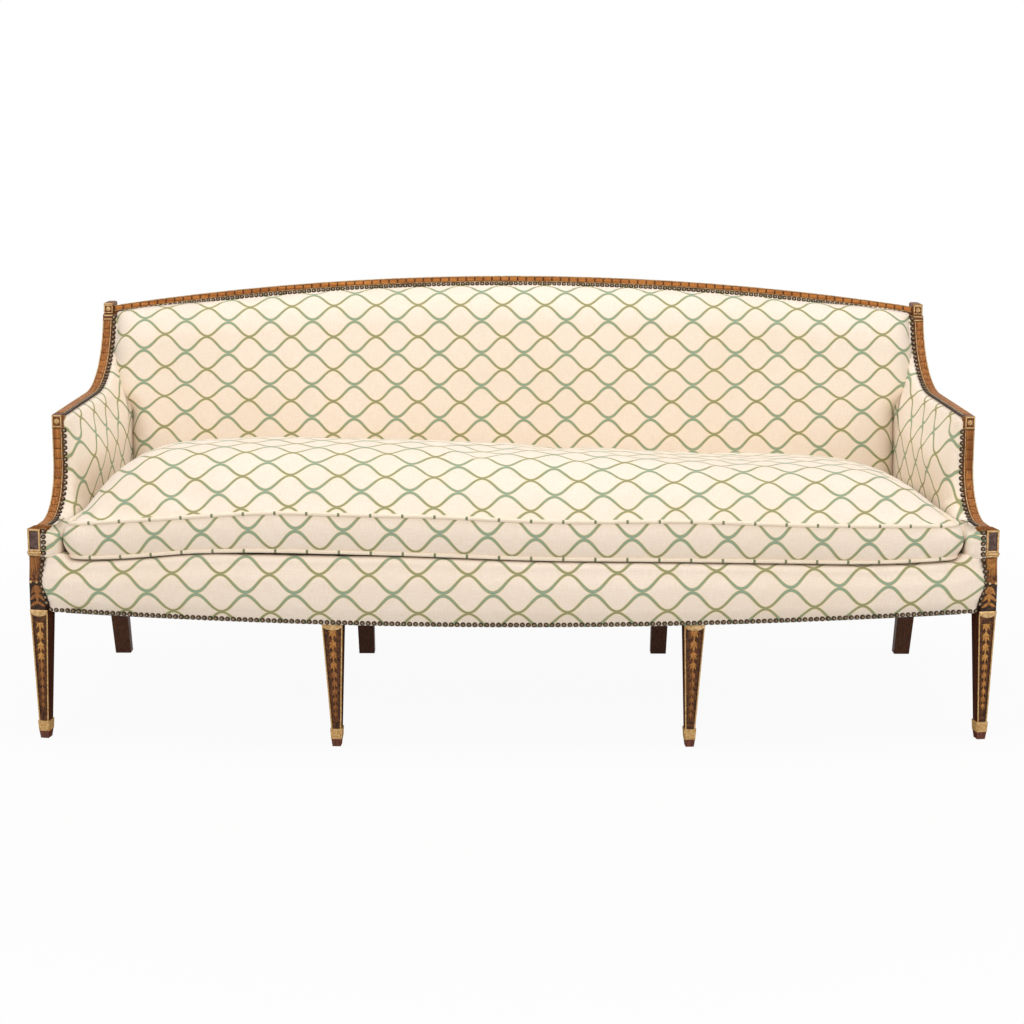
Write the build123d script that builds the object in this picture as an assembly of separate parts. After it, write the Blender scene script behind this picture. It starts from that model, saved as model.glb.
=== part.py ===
from build123d import *
import math
import os

# Sofa with a bowed front, swept arms and one loose seat cushion, in millimetres.
# X runs along the sofa, Y from front to back, Z up from the floor.
# Depths are measured from the front face of the corner legs and centred when saved.

# Bowed front and seat frame
half_chord = 961.0
bow_depth = 80.0
front_setback = 6.0
rail_thick = 30.0
rail_bottom = 272.0
rail_sag = 13.0
rail_top = 372.0
rear_rail_bottom = 268.0
side_rail_inset = 4.0

# Front legs
leg_outset = 19.0
leg_top_wide = 37.0
leg_top_deep = 40.0
leg_toe_wide = 21.0
leg_toe_deep = 25.0
tip_wide = 20.0
tip_high = 16.0
foot_wide = 25.0
foot_top = 38.0
shaft_top = 263.0
collar_top = 275.0
panel_top = 334.0
panel_wide = 33.0
neck_wide = 24.0
neck_top = 389.0
moulding_top = 399.0
block_wide = 27.0
block_top = 446.0
leg_recess = 2.0
leg_border = 4.0
strip_back = 8.0
middle_leg_x = 365.0
middle_leg_front = -57.0
middle_leg_wide = 44.0
middle_leg_lean = 5.5

# Arms, in an upright plane that closes in toward the back
arm_outset = 29.0
arm_splay = 3.0
member_wide = 28.0
stump_front = 190.0
stump_back = 228.0
stump_radius = 110.0
arm_height = 655.0
arm_thick = 26.0
arm_rise = 2.0
sweep_radius = 195.0
sweep_foot = 480.0
heel_low = 735.0

# Back, leaning away from the seat
post_inset = 5.0
post_wide = 38.0
back_base = 573.0
back_slope = 0.153
back_thick = 32.0
head_bottom = 825.0
head_top = 851.0
head_forward = 26.0
crest_end = 844.0
crest_height = 911.0
crest_board = 44.0
crest_forward = 18.0
crest_thick = 40.0
outside_drop = 12.0
crest_nail_drop = 18.0
rear_foot_front = 713.0
rear_foot_deep = 30.0
rear_foot_wide = 37.0
rear_leg_deep = 36.0
rear_leg_wide = 43.0
rear_leg_inset = 13.0
rear_inner_x = 353.0
lower_rail_low = 400.0
lower_rail_high = 445.0
upright_x = 330.0
upright_wide = 40.0

# Upholstery
cover_thick = 1.6
play = 0.3
border_pad = 10.0
border_crown = 6.0
border_top = 386.0
edge_roll = 62.0
deck_end = 385.0
deck_crown = 10.0
cloth_thick = 1.0
back_pad = 84.0
back_pad_top = 26.0
arm_pad_front = 22.0
arm_pad_back = 42.0
arm_closing = 31.0

# Loose cushion
cushion_end_gap = 25.0
cushion_back_gap = 12.0
cushion_front_gap = 12.0
cushion_rear_gap = 11.0
cushion_lift = 4.0
boxing = 74.0
crown = 100.0
end_crown = 30.0
welt_radius = 4.5
corner_round = 26.0

# Springs, straps and fixings
spring_radius = 36.0
spring_wire = 1.9
spring_turns = 3
spring_columns = 4
spring_rows = 3
strap_wide = 50.0
strap_thick = 1.2
dowel_radius = 5.0
dowel_long = 44.0
screw_radius = 2.4
screw_head = 4.5
screw_long = 46.0
pocket_deep = 20.0
block_leg = 80.0
nail_radius = 5.2
nail_high = 3.2
nail_shank = 1.8
nail_long = 11.0
nail_pitch = 12.0
nail_line = 5.4

# Widths that follow the bowed front
leg_x = half_chord + leg_outset
arm_x = half_chord + arm_outset
post_outer = half_chord - post_inset
rear_leg_x = post_outer - rear_leg_inset
arm_zone_x = arm_x - member_wide - arm_pad_back - arm_closing
cushion_half = arm_x - member_wide - arm_pad_front - cushion_end_gap
cushion_half_back = arm_zone_x - cushion_back_gap

# Seams of the loose cushion, clear of the deck under it and the back behind it
seam_low = deck_end + deck_crown + cushion_lift + welt_radius + cloth_thick
seam_high = seam_low + boxing - 2 * cushion_lift
cushion_rear = back_base + back_slope * seam_low - back_pad - cushion_rear_gap

# Derived lines
bow_radius = (half_chord**2 + bow_depth**2) / (2 * bow_depth)
bow_centre = front_setback - bow_depth + bow_radius
bow_axis = Axis((0, bow_centre, 0), (0, 0, 1))
corner_turn = math.degrees(math.asin(leg_x / bow_radius))
sag_radius = (half_chord**2 + rail_sag**2) / (2 * rail_sag)
rail_front = cover_thick + border_pad
post_inner = post_outer - post_wide
canvas_top = rail_top + cloth_thick
far = 3000.0

splay = math.radians(arm_splay)
arm_along = Vector(-math.sin(splay), math.cos(splay), 0)
arm_outward = Vector(math.cos(splay), math.sin(splay), 0)
arm_plane = Plane(origin=(arm_x, 0, 0), x_dir=arm_along, z_dir=arm_outward)
lean = math.atan(back_slope)
back_plane = Plane(
    origin=(0, back_base, 0), x_dir=(1, 0, 0), z_dir=(0, -math.cos(lean), math.sin(lean))
)

back_up = Vector(0, math.sin(lean), math.cos(lean))
back_out = Vector(0, -math.cos(lean), math.sin(lean))
back_cut = Plane(origin=(0, back_base, 0), x_dir=back_out, z_dir=(-1, 0, 0))
crest_s = crest_height / math.cos(lean)
arch_rise = (crest_height - crest_end) / math.cos(lean)
arch_radius = (post_inner**2 + arch_rise**2) / (2 * arch_rise)
arch_axis = Axis(Vector(0, back_base, 0) + back_up * (crest_s - arch_radius), back_out)


def back_y(height):
    """Depth of the front plane of the back frame at a height."""
    return back_base + back_slope * height


def sag_z(x):
    """Height of the dipping lower edge of the front rail."""
    return rail_bottom - rail_sag + sag_radius - math.sqrt(sag_radius**2 - x**2)


def bow_y(x, inset=0.0):
    """Depth of the bowed front line, or of a line behind it."""
    return bow_centre - math.sqrt((bow_radius - inset) ** 2 - x**2)


def span_box(x_span, y_span, z_span):
    """Box between two values on each axis."""
    spans = (x_span, y_span, z_span)
    middle = [(a + b) / 2 for a, b in spans]
    size = [b - a for a, b in spans]
    return Pos(*middle) * Box(*size)


def closed(points):
    """Flat face with straight edges through the points."""
    return make_face(Polyline(*points, close=True))


def side_board(face, x_span):
    """Board cut to a side outline of depth and height, between two widths."""
    low, high = x_span
    return extrude(Plane.YZ.offset(low) * face, amount=high - low)


def arm_board(face, inner, outer):
    """Board cut to an outline in the arm plane, between two distances inside its outer face."""
    return extrude(arm_plane.offset(-inner) * face, amount=inner - outer)


def behind_back(gap=0.0):
    """Everything behind the front plane of the back frame."""
    return back_plane.offset(gap) * Pos(0, 0, -far / 2) * Box(2 * far, 2 * far, far)


def bowed(face):
    """Carries a section of the middle plane along the bowed front."""
    turn = corner_turn
    start = (Plane.YZ * face).rotate(bow_axis, -turn)
    return revolve(start, bow_axis, 2 * turn)


def corner_place():
    """Place of the right corner leg, turned to face along the bow."""
    return Pos(leg_x, 0, 0) * Rot(0, 0, corner_turn)


def beyond_leg(gap):
    """Everything past the inner face of the right corner leg."""
    inner = -leg_top_wide / 2 - gap
    return corner_place() * Pos(inner + far / 2, 0, 0) * Box(far, far, far)


def below_front(lift=0.0):
    """Everything under the dipping lower edge of the front rail."""
    reach = half_chord + 3 * leg_top_wide
    edge = ThreePointArc(
        (-reach, sag_z(reach) + lift), (0, sag_z(0) + lift), (reach, sag_z(reach) + lift)
    )
    end = sag_z(reach) + lift
    sides = Polyline((reach, end), (reach, 0), (-reach, 0), (-reach, end))
    face = Plane.XZ * make_face(edge + sides)
    return extrude(face, amount=far, both=True)


def between_legs(shape, gap):
    """Trims a bowed piece at both corner legs."""
    end = beyond_leg(gap)
    return shape - end - mirror(end, about=Plane.YZ)


def level(width, depth, height, centre=0.0, front=0.0):
    """Rectangle at a height, with its front edge at a depth."""
    return Pos(centre, front + depth / 2, height) * Rectangle(width, depth)


def leg_shaft(top_wide, top, lean_out):
    """Tapered leg on a foot block and a tip, with a sunk front panel."""
    shift = lean_out
    foot_front = (leg_top_deep - leg_toe_deep) / 6
    tip = loft([
        level(tip_wide - 3, leg_toe_deep - 5, 0, 0, foot_front + 2),
        level(tip_wide + 1, leg_toe_deep, tip_high, 0, foot_front),
    ])
    foot = loft([
        level(tip_wide + 2, leg_toe_deep + 1, tip_high, 0, foot_front),
        level(foot_wide, leg_toe_deep + 3, foot_top, 0, foot_front - 1),
    ])
    shaft = loft([
        level(leg_toe_wide, leg_toe_deep, foot_top, 0, foot_front),
        level(top_wide, leg_top_deep, top, shift, 0),
    ])
    low = foot_top + 12.0
    high = top - 14.0
    share = (high - foot_top) / (top - foot_top)
    wide_high = leg_toe_wide + share * (top_wide - leg_toe_wide) - 2 * leg_border
    wide_low = leg_toe_wide + 0.06 * (top_wide - leg_toe_wide) - 1.4 * leg_border
    panel = loft([
        level(wide_low, leg_top_deep, low, 0, foot_front + leg_recess - leg_top_deep),
        level(wide_high, leg_top_deep, high, shift * share, leg_recess - leg_top_deep),
    ])
    return tip + foot + (shaft - panel)


def front_corner_leg():
    """Corner leg with its carved panel, neck, moulding and square block."""
    outer = leg_top_wide / 2
    panel_mid = outer - panel_wide / 2
    block_mid = outer - block_wide / 2
    waist = panel_top + 0.75 * (neck_top - panel_top)
    leg = leg_shaft(leg_top_wide, shaft_top, 0.0)
    leg += loft([
        level(leg_top_wide, leg_top_deep, shaft_top),
        level(leg_top_wide + 1, leg_top_deep + 1, collar_top, 0.5, -1),
    ])
    leg += loft([
        level(panel_wide, leg_top_deep, collar_top, panel_mid),
        level(panel_wide, leg_top_deep, panel_top, panel_mid),
    ])
    leg += loft([
        level(panel_wide, leg_top_deep, panel_top, panel_mid),
        level(neck_wide, leg_top_deep - 4, waist, block_mid, 2),
    ])
    leg += loft([
        level(neck_wide, leg_top_deep - 4, waist, block_mid, 2),
        level(neck_wide, leg_top_deep - 4, neck_top, block_mid, 2),
    ])
    leg += loft([
        level(neck_wide + 2, leg_top_deep - 2, neck_top, block_mid, 1),
        level(block_wide + 2, leg_top_deep + 1, moulding_top, block_mid, -1),
    ])
    block = loft([
        level(block_wide, leg_top_deep, moulding_top, block_mid),
        level(block_wide, leg_top_deep, block_top, block_mid),
    ])
    sunk = Pos(block_mid, 0, (moulding_top + block_top) / 2) * Box(
        block_wide - 2 * leg_border, 2 * leg_recess, block_top - moulding_top - 2 * leg_border
    )
    leg += block - sunk
    strip = leg_top_wide - block_wide + 2
    leg += loft([
        level(strip, leg_top_deep - strip_back, shaft_top, strip / 2 - outer, strip_back),
        level(strip, leg_top_deep - strip_back, block_top, strip / 2 - outer, strip_back),
    ])
    return corner_place() * leg


def front_middle_leg():
    """Leg under the bowed rail, cut to the dip of its lower edge."""
    turn = math.degrees(math.asin(middle_leg_x / bow_radius))
    leg = leg_shaft(middle_leg_wide, rail_bottom, middle_leg_lean)
    return (Pos(middle_leg_x, middle_leg_front, 0) * Rot(0, 0, turn) * leg) & below_front()


def rear_leg(top_x, foot_x, top_wide):
    """Plain raked leg from the rear rail to the floor."""
    top_front = back_y(rear_rail_bottom) + (back_thick - rear_leg_deep) / 2
    return loft([
        level(rear_foot_wide, rear_foot_deep, 0, foot_x, rear_foot_front),
        level(top_wide, rear_leg_deep, rear_rail_bottom, top_x, top_front),
    ])


def back_post():
    """Back post with its forward head block, in one piece with the outer rear leg."""
    front_low = back_y(rear_rail_bottom)
    head_y = back_y(head_bottom) - head_forward
    outline = closed([
        (front_low, rear_rail_bottom),
        (back_y(head_bottom), head_bottom),
        (head_y, head_bottom),
        (head_y + back_slope * (head_top - head_bottom), head_top),
        (back_y(head_top) + back_thick, head_top),
        (front_low + back_thick, rear_rail_bottom),
    ])
    post = side_board(outline, (post_inner, post_outer))
    crown_edges = post.edges().group_by(Axis.Z)[-1].filter_by(Axis.Y, reverse=False, tolerance=20)
    post = fillet(crown_edges, 7)
    return post + rear_leg(rear_leg_x, rear_leg_x, rear_leg_wide)


def arm_top(u):
    """Height of the rising top line of the arm."""
    return arm_height + math.tan(math.radians(arm_rise)) * (u - stump_front)


def sweep_centre():
    """Centre of the hollow sweep, tangent to the top line of the arm."""
    rise = math.radians(arm_rise)
    return (
        sweep_foot - sweep_radius * math.sin(rise),
        arm_top(sweep_foot) + sweep_radius * math.cos(rise),
    )


def arm_under(u):
    """Height of the underside of the arm in front of its sweep."""
    far_u, far_z = sweep_point(sweep_radius + arm_thick, -90.0 + arm_rise)
    near_z = arm_top(stump_front) - arm_thick
    return near_z + (far_z - near_z) * (u - stump_front) / (far_u - stump_front)


def sweep_point(radius, angle):
    """Point on a circle about the centre of the sweep."""
    across, up = sweep_centre()
    turn = math.radians(angle)
    return (across + radius * math.cos(turn), up + radius * math.sin(turn))


def sweep_arc(radius, start, stop):
    """Part of a circle about the centre of the sweep."""
    middle = (start + stop) / 2
    return ThreePointArc(
        sweep_point(radius, start), sweep_point(radius, middle), sweep_point(radius, stop)
    )


def sweep_stop(radius, height):
    """Angle at which a circle of the sweep reaches a height."""
    return math.degrees(math.asin((height - sweep_centre()[1]) / radius))


def arm_rail():
    """Arm with its hollow sweep and a heel against the back post."""
    low = -90.0 + arm_rise
    heel = -40.0
    inner = sweep_radius + arm_thick
    end = sweep_stop(sweep_radius, head_bottom)
    behind = back_y(head_bottom) + arm_thick
    outline = Polyline(
        sweep_point(inner, low),
        (stump_front, arm_top(stump_front) - arm_thick),
        (stump_front, arm_top(stump_front)),
        sweep_point(sweep_radius, low),
    )
    outline += sweep_arc(sweep_radius, low, end)
    outline += Polyline(
        sweep_point(sweep_radius, end), (behind, head_bottom), (behind, heel_low),
        (back_y(heel_low) - arm_thick / 2, heel_low), sweep_point(inner, heel),
    )
    outline += sweep_arc(inner, heel, low)
    return arm_board(make_face(outline), member_wide, 0) - behind_back()


def stump_line(inset, low):
    """Front line of the swept stump from its foot to the arm, moved inward by an inset."""
    radius = stump_radius + inset
    across = stump_front - stump_radius
    up = block_top + stump_radius
    half = math.radians(-45)
    return [
        Line((low, up - radius), (across, up - radius)),
        ThreePointArc(
            (across, up - radius),
            (across + radius * math.cos(half), up + radius * math.sin(half)),
            (across + radius, up),
        ),
        Line((across + radius, up), (across + radius, arm_under(across + radius))),
    ]


def arm_stump():
    """Swept stump standing on the side rail behind the block of the corner leg."""
    front = leg_top_deep / 3
    line = stump_line(0, front)
    outline = line[0] + line[1] + line[2] + Polyline(
        (stump_front, arm_under(stump_front)), (stump_back, arm_under(stump_back)),
        (stump_back, rail_top), (front, rail_top), (front, block_top),
    )
    board = arm_board(make_face(outline), member_wide, 0)
    keep = corner_place() * Pos(0, leg_top_deep + far / 2, 0) * Box(2 * far, far, far)
    return board & keep


def side_seat_rail():
    """Side rail between the corner leg and the back post."""
    rear = back_y(rail_top) + back_thick
    face = closed([(0, rail_bottom), (rear, rail_bottom), (rear, rail_top), (0, rail_top)])
    board = arm_board(face, side_rail_inset + rail_thick, side_rail_inset)
    keep = corner_place() * Pos(0, leg_top_deep + far / 2, 0) * Box(2 * far, far, far)
    return (board & keep) - behind_back()


def front_seat_rail():
    """Bowed front rail with a dipping lower edge."""
    front = front_setback - bow_depth + rail_front
    low = rail_bottom - rail_sag - 1
    face = closed([
        (front, low), (front + rail_thick, low), (front + rail_thick, rail_top), (front, rail_top)
    ])
    return between_legs(bowed(face), 0) - below_front()


def across_board(low, high, x_span):
    """Board of the leaning back between two heights."""
    face = closed([
        (back_y(low), low), (back_y(high), high),
        (back_y(high) + back_thick, high), (back_y(low) + back_thick, low),
    ])
    return side_board(face, x_span)


def arch_s(x, drop=0.0):
    """Distance up the leaning back of a line along the arch, a drop under its top edge."""
    return crest_s - arch_radius + math.sqrt((arch_radius - drop) ** 2 - x**2)


def arched(face):
    """Carries a section of the middle plane along the arch of the crest."""
    turn = math.degrees(math.asin(post_outer / arch_radius))
    start = (back_cut * face).rotate(arch_axis, -turn)
    return revolve(start, arch_axis, 2 * turn)


def between_posts(shape, gap=0.0):
    """Trims an arched piece at both back posts."""
    end = span_box((post_inner - gap, far), (-far, far), (-far, far))
    return shape - end - mirror(end, about=Plane.YZ)


def crest_rail():
    """Arched top rail of the back, standing a little forward of the posts."""
    rear = crest_forward - crest_thick
    low = crest_s - crest_board
    face = closed([(rear, low), (crest_forward, low), (crest_forward, crest_s), (rear, crest_s)])
    return between_posts(arched(face))


def back_upright():
    """Inner upright between the lower rail of the back and the crest rail."""
    half = upright_wide / 2
    board = across_board(lower_rail_high, crest_height, (upright_x - half, upright_x + half))
    low = crest_s - crest_board
    high = low + 2 * crest_board
    over = arched(closed([(-far, low), (far, low), (far, high), (-far, high)]))
    return board - over


def arm_slat():
    """Low tacking slat of the arm between the stump and the back post."""
    low = rail_top + 12
    high = low + 40
    rear = back_y(high) + back_thick
    face = closed([(stump_back, low), (rear, low), (rear, high), (stump_back, high)])
    return arm_board(face, member_wide, 6) - behind_back()


def seat_brace():
    """Front-to-back brace between the front and rear rails."""
    half = rail_thick / 2
    brace = span_box(
        (middle_leg_x - half, middle_leg_x + half),
        (bow_y(middle_leg_x, rail_front), back_y(rail_top) + back_thick),
        (rail_bottom + 2, rail_bottom + 40),
    )
    inner = bow_radius - rail_front - rail_thick
    room = Pos(0, bow_centre, rail_bottom) * Cylinder(inner, far)
    return (brace & room) - behind_back()


def corner_block_set():
    """Glue blocks in the four corners of the seat frame, with the screws that hold them."""
    low = rail_bottom + 34
    high = low + 42
    side = arm_plane.offset(-side_rail_inset - rail_thick)
    rear = back_y(low)
    at_rear = side.from_local_coords((rear, low, 0)).X
    rear_face = closed([
        (at_rear + 10, rear + 10), (at_rear + 10, rear - block_leg), (at_rear - block_leg, rear + 10)
    ])
    rear_block = extrude(Pos(0, 0, low) * rear_face, amount=high - low)
    front_y = bow_y(half_chord, rail_front + rail_thick)
    at_front = side.from_local_coords((front_y, low, 0)).X
    front_face = closed([
        (at_front + 10, front_y - 40), (at_front + 10, front_y + block_leg),
        (at_front - block_leg - 20, front_y - 40),
    ])
    front_block = extrude(Pos(0, 0, low) * front_face, amount=high - low)
    outside = arm_board(
        closed([(-far, -far), (far, -far), (far, far), (-far, far)]), side_rail_inset + rail_thick, -far
    )
    inner = bow_radius - rail_front - rail_thick
    room = Pos(0, bow_centre, rail_bottom) * Cylinder(inner, far)
    corner = corner_place() * Pos(0, leg_top_deep - far / 2, 0) * Box(leg_top_wide + 2, far, far)
    rear_block = rear_block - outside - behind_back()
    front_block = ((front_block & room) - outside) - corner
    return front_block, rear_block


def screw(point, direction, length):
    """Countersunk wood screw with its head at a point."""
    body = Pos(0, 0, length / 2) * Cylinder(screw_radius, length)
    head = Pos(0, 0, 1.5) * Cone(screw_head, screw_radius, 3)
    return Plane(origin=point, z_dir=direction).location * (body + head)


def peg(point, direction, length=dowel_long, radius=dowel_radius):
    """Dowel centred on a joint."""
    return Plane(origin=point, z_dir=direction).location * Cylinder(radius, length)


def border_face(grow):
    """Section of the padded front with its rolled upper edge."""
    front = front_setback - bow_depth + cover_thick - grow
    back = front_setback - bow_depth + rail_front
    low = rail_bottom - rail_sag - 1
    top = border_top - cover_thick + grow
    shoulder = top - 16
    rear = front_setback - bow_depth + edge_roll
    bulge = ThreePointArc(
        (front, low), (front - border_crown, (low + shoulder) / 2), (front, shoulder)
    )
    roll = ThreePointArc((front, shoulder), (front + 3, top - 5), (front + 13, top))
    rest = Polyline(
        (front + 13, top), (rear, top), (rear, canvas_top + play), (back - play, canvas_top + play),
        (back - play, low), (front, low),
    )
    return make_face(bulge + roll + rest)


def front_border():
    """Padding of the bowed front and the cover over it."""
    pad = between_legs(bowed(border_face(0)), play + 1) - below_front(play)
    skin = border_face(cover_thick) - border_face(play / 2)
    cover = between_legs(bowed(skin), play) - below_front(play)
    return pad, max(cover.solids(), key=lambda solid: solid.volume)


def deck_arc(lift):
    """Crowned top line of the seat deck."""
    return ThreePointArc(
        (-arm_zone_x, deck_end + lift), (0, deck_end + deck_crown + lift), (arm_zone_x, deck_end + lift)
    )


def deck_plan(front_inset, half, rear):
    """Plan of the seat behind the bowed front."""
    side_front = bow_y(half, front_inset)
    arc = ThreePointArc((-half, side_front), (0, bow_y(0, front_inset)), (half, side_front))
    return make_face(
        arc + Polyline((half, side_front), (half, rear), (-half, rear), (-half, side_front))
    )


def deck_layer(low_line, top_line, half, rear, inset):
    """Layer of the deck between two heights of the crowned line."""
    def corner(lift):
        return deck_end + lift if lift is not None else canvas_top + play
    top_edge = deck_arc(top_line)
    left = (-arm_zone_x, corner(top_line))
    right = (arm_zone_x, corner(top_line))
    if low_line is None:
        rest = Polyline(right, (arm_zone_x, canvas_top + play), (-arm_zone_x, canvas_top + play), left)
        face = make_face(top_edge + rest)
    else:
        under = deck_arc(low_line)
        face = make_face(
            top_edge + under
            + Line(right, (arm_zone_x, corner(low_line))) + Line(left, (-arm_zone_x, corner(low_line)))
        )
    body = extrude(Plane.XZ * face, amount=far, both=True)
    return body & extrude(deck_plan(inset, half, rear), amount=far)


def spring_canvas():
    """Canvas over the springs, lying on the four seat rails."""
    plan = deck_plan(rail_front + 6, half_chord, back_y(rail_top) + 12)
    sheet = Pos(0, 0, rail_top) * extrude(plan, amount=cloth_thick)
    whole = closed([(-far, -far), (far, -far), (far, far), (-far, far)])
    outside = arm_board(whole, member_wide + 1, -far)
    post = span_box((post_inner - 1, far), (back_y(rail_top) - 1, far), (0, far))
    for piece in (outside, post, beyond_leg(1)):
        sheet = sheet - piece - mirror(piece, about=Plane.YZ)
    return sheet


def back_face(grow):
    """Section of the back stuffing, set out forward of and up the back frame."""
    top = crest_s - back_pad_top + grow
    low = border_top - 60
    step = crest_s - crest_board - 2 * play
    shoulder = top - 95
    belly = (shoulder + border_top) / 2
    start = (crest_forward + 7 + grow, top)
    turn = (back_pad + grow, shoulder)
    upper = ThreePointArc(start, (0.78 * back_pad + grow, top - 28), turn)
    lower = ThreePointArc(turn, (back_pad + 8 + grow, belly), (back_pad - 12 + grow, low))
    rest = Polyline(
        (back_pad - 12 + grow, low), (play, low), (play, step), (crest_forward + play, step),
        (crest_forward + play, top), start,
    )
    return make_face(upper + lower + rest)


def back_form(inset, grow):
    """Crowned form of the back stuffing with rounded ends."""
    end = post_inner - inset
    deep = back_pad + 30 + grow
    body = arched(back_face(grow))
    plan_plane = Plane(origin=(0, back_base, 0), x_dir=(1, 0, 0), z_dir=back_up * -1)
    right = ThreePointArc((end, crest_forward), (end - 11, back_pad - 30), (end - 64, deep))
    left = ThreePointArc((-end, crest_forward), (-end + 11, back_pad - 30), (-end + 64, deep))
    rest = Line((end - 64, deep), (-end + 64, deep))
    rest += Polyline((-end, crest_forward), (-end, -far / 10), (end, -far / 10), (end, crest_forward))
    plan = plan_plane * make_face(right + left + rest)
    return body & extrude(plan, amount=far, both=True)


def arm_zone(gap):
    """Room of the right arm beside the back stuffing, in front view."""
    edge = arm_zone_x + gap
    low = border_top - 20
    knee = arm_height - 22
    rise = ThreePointArc(
        (edge, knee), (edge + 9, knee + 56 - gap), (post_inner + gap, knee + 108 - gap)
    )
    rest = Polyline(
        (post_inner + gap, knee + 108 - gap), (far, knee + 108 - gap), (far, low), (edge, low),
        (edge, knee),
    )
    return extrude(Plane.XZ * make_face(rise + rest), amount=-far)


def inside_back():
    """Back stuffing and its cover, with room left for the arms."""
    right = arm_zone(0)
    left = mirror(right, about=Plane.YZ)
    floor = span_box((-far, far), (-far, far), (-far, deck_end + deck_crown + 3 * cloth_thick))
    form = back_form(cover_thick + 2 * play, 0)
    shell = back_form(play, cover_thick) - back_form(cover_thick + play, play / 2)
    return form - floor - right - left, shell - floor - right - left


def arm_form(inset):
    """Padded inner side of the right arm, moved inward by an inset."""
    line = stump_line(2 + inset, 52 + inset)
    low = border_top + 3 + inset
    edge = 3 + inset
    start = stump_front + 2 + inset
    arc_low = -90.0 + arm_rise
    arc_end = -24.0
    outer = sweep_radius + edge
    end_point = sweep_point(outer, arc_end)
    top_line = Polyline(
        (start, arm_under(start)), (start, arm_top(start) - edge), sweep_point(outer, arc_low)
    )
    rest = Polyline(
        end_point, (back_y(end_point[1]) + 30, end_point[1]), (back_y(low) + 30, low),
        (52 + inset, low), (52 + inset, block_top - 2 - inset),
    )
    side = make_face(
        line[0] + line[1] + line[2] + top_line + sweep_arc(outer, arc_low, arc_end) + rest
    )
    inner = member_wide + arm_pad_back + 20
    board = arm_board(side, inner, member_wide + play)
    thin = member_wide + arm_pad_front - 14 - inset
    plan_plane = Plane(origin=(arm_x, 0, 0), x_dir=arm_along, z_dir=(0, 0, 1))
    reach = back_y(head_bottom) + 40
    plan = make_face(
        ThreePointArc(
            (0, thin), (0.4 * reach, member_wide + arm_pad_front + 8 - inset),
            (reach, member_wide + arm_pad_back + 4 - inset),
        ) + Polyline((reach, member_wide + arm_pad_back + 4 - inset), (reach, 0), (0, 0), (0, thin))
    )
    plan_body = extrude(plan_plane * plan, amount=far)
    rise_plane = Plane(origin=(arm_x, 0, 0), x_dir=-arm_outward, z_dir=arm_along)
    shoulder = arm_height - 6 - inset
    belly = arm_height - 95
    rise = make_face(
        ThreePointArc(
            (member_wide + 14 - inset, shoulder), (member_wide + arm_pad_back + 3 - inset, belly),
            (member_wide + arm_pad_back - 2 - inset, low - 2),
        ) + Polyline(
            (member_wide + arm_pad_back - 2 - inset, low - 2), (0, low - 2), (0, head_bottom),
            (member_wide + 14 - inset, head_bottom), (member_wide + 14 - inset, shoulder),
        )
    )
    rise_body = extrude(rise_plane * rise, amount=far)
    return (board & plan_body & rise_body & arm_zone(play + inset)) - behind_back(play)


def inside_arm():
    """Padding of the right arm and its cover."""
    outer = arm_form(0)
    return arm_form(cover_thick + play), outer - arm_form(cover_thick)


def cushion_edge(x):
    """Front depth of the cushion at a width."""
    return bow_y(x, cushion_front_gap)


def cushion_section(x, rise, shrink):
    """Section of the loose cushion at a width."""
    share = abs(x) / cushion_half
    low = deck_end + deck_crown * (1 - share**2) + 2.6 + cloth_thick + shrink
    front = cushion_edge(x) + shrink
    rear = cushion_rear - shrink
    top = low + boxing - 2 * shrink
    middle = (front + rear) / 2
    face = ThreePointArc((front, low), (front - 5, (low + top) / 2), (front, top))
    over = ThreePointArc((front, top), (middle, top + rise), (rear, top))
    back = ThreePointArc((rear, top), (rear + 4, (low + top) / 2), (rear, low))
    return Plane.YZ.offset(x) * make_face(face + over + back + Line((rear, low), (front, low)))


def cushion_plan(grow):
    """Plan of the cushion with its rounded corners."""
    half = cushion_half + grow
    back = cushion_half_back + grow
    front = cushion_edge(cushion_half) - grow
    rear = cushion_rear + grow
    bow = ThreePointArc((-half, front), (0, cushion_edge(0) - grow), (half, front))
    face = make_face(bow + Polyline((half, front), (back, rear), (-back, rear), (-half, front)))
    return fillet(face.vertices(), corner_round)


def cushion_form(shrink):
    """Crowned form of the loose cushion, drawn in at its ends."""
    half = cushion_half + 4
    stations = []
    for share in (-1.0, -0.86, -0.56, 0.0, 0.56, 0.86, 1.0):
        stations.append((share * half, end_crown + (crown - end_crown) * (1 - share**4)))
    body = loft([cushion_section(x, rise, shrink) for x, rise in stations])
    return body & extrude(cushion_plan(3 - shrink), amount=far)


def welt(height):
    """Corded seam round the plan of the cushion at a height."""
    outline = Pos(0, 0, height) * cushion_plan(welt_radius + cover_thick)
    line = outline.face().outer_wire()
    start = Plane(origin=line @ 0, z_dir=line % 0)
    return sweep(start * Circle(welt_radius), path=line)


def outside_arm():
    """Flat cover panel between the arm, the stump, the post and the side rail."""
    low = rail_bottom
    edge = 1.0
    inner = sweep_radius + arm_thick + edge
    arc_low = -90.0 + arm_rise
    outline = Polyline(
        (stump_back + edge, arm_top(stump_back) - arm_thick - edge), sweep_point(inner, arc_low)
    )
    outline += sweep_arc(inner, arc_low, -42.0)
    top = sweep_point(inner, -42.0)
    outline += Polyline(
        top, (back_y(top[1]) + 30, top[1]), (back_y(low) + 30, low), (stump_back - 170, low),
        (stump_back - 170, rail_top - edge), (stump_back + edge, rail_top - edge),
        (stump_back + edge, arm_top(stump_back) - arm_thick - edge),
    )
    inner_face = side_rail_inset - play
    board = arm_board(make_face(outline), inner_face, inner_face - cover_thick)
    return board - behind_back(play)


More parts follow.
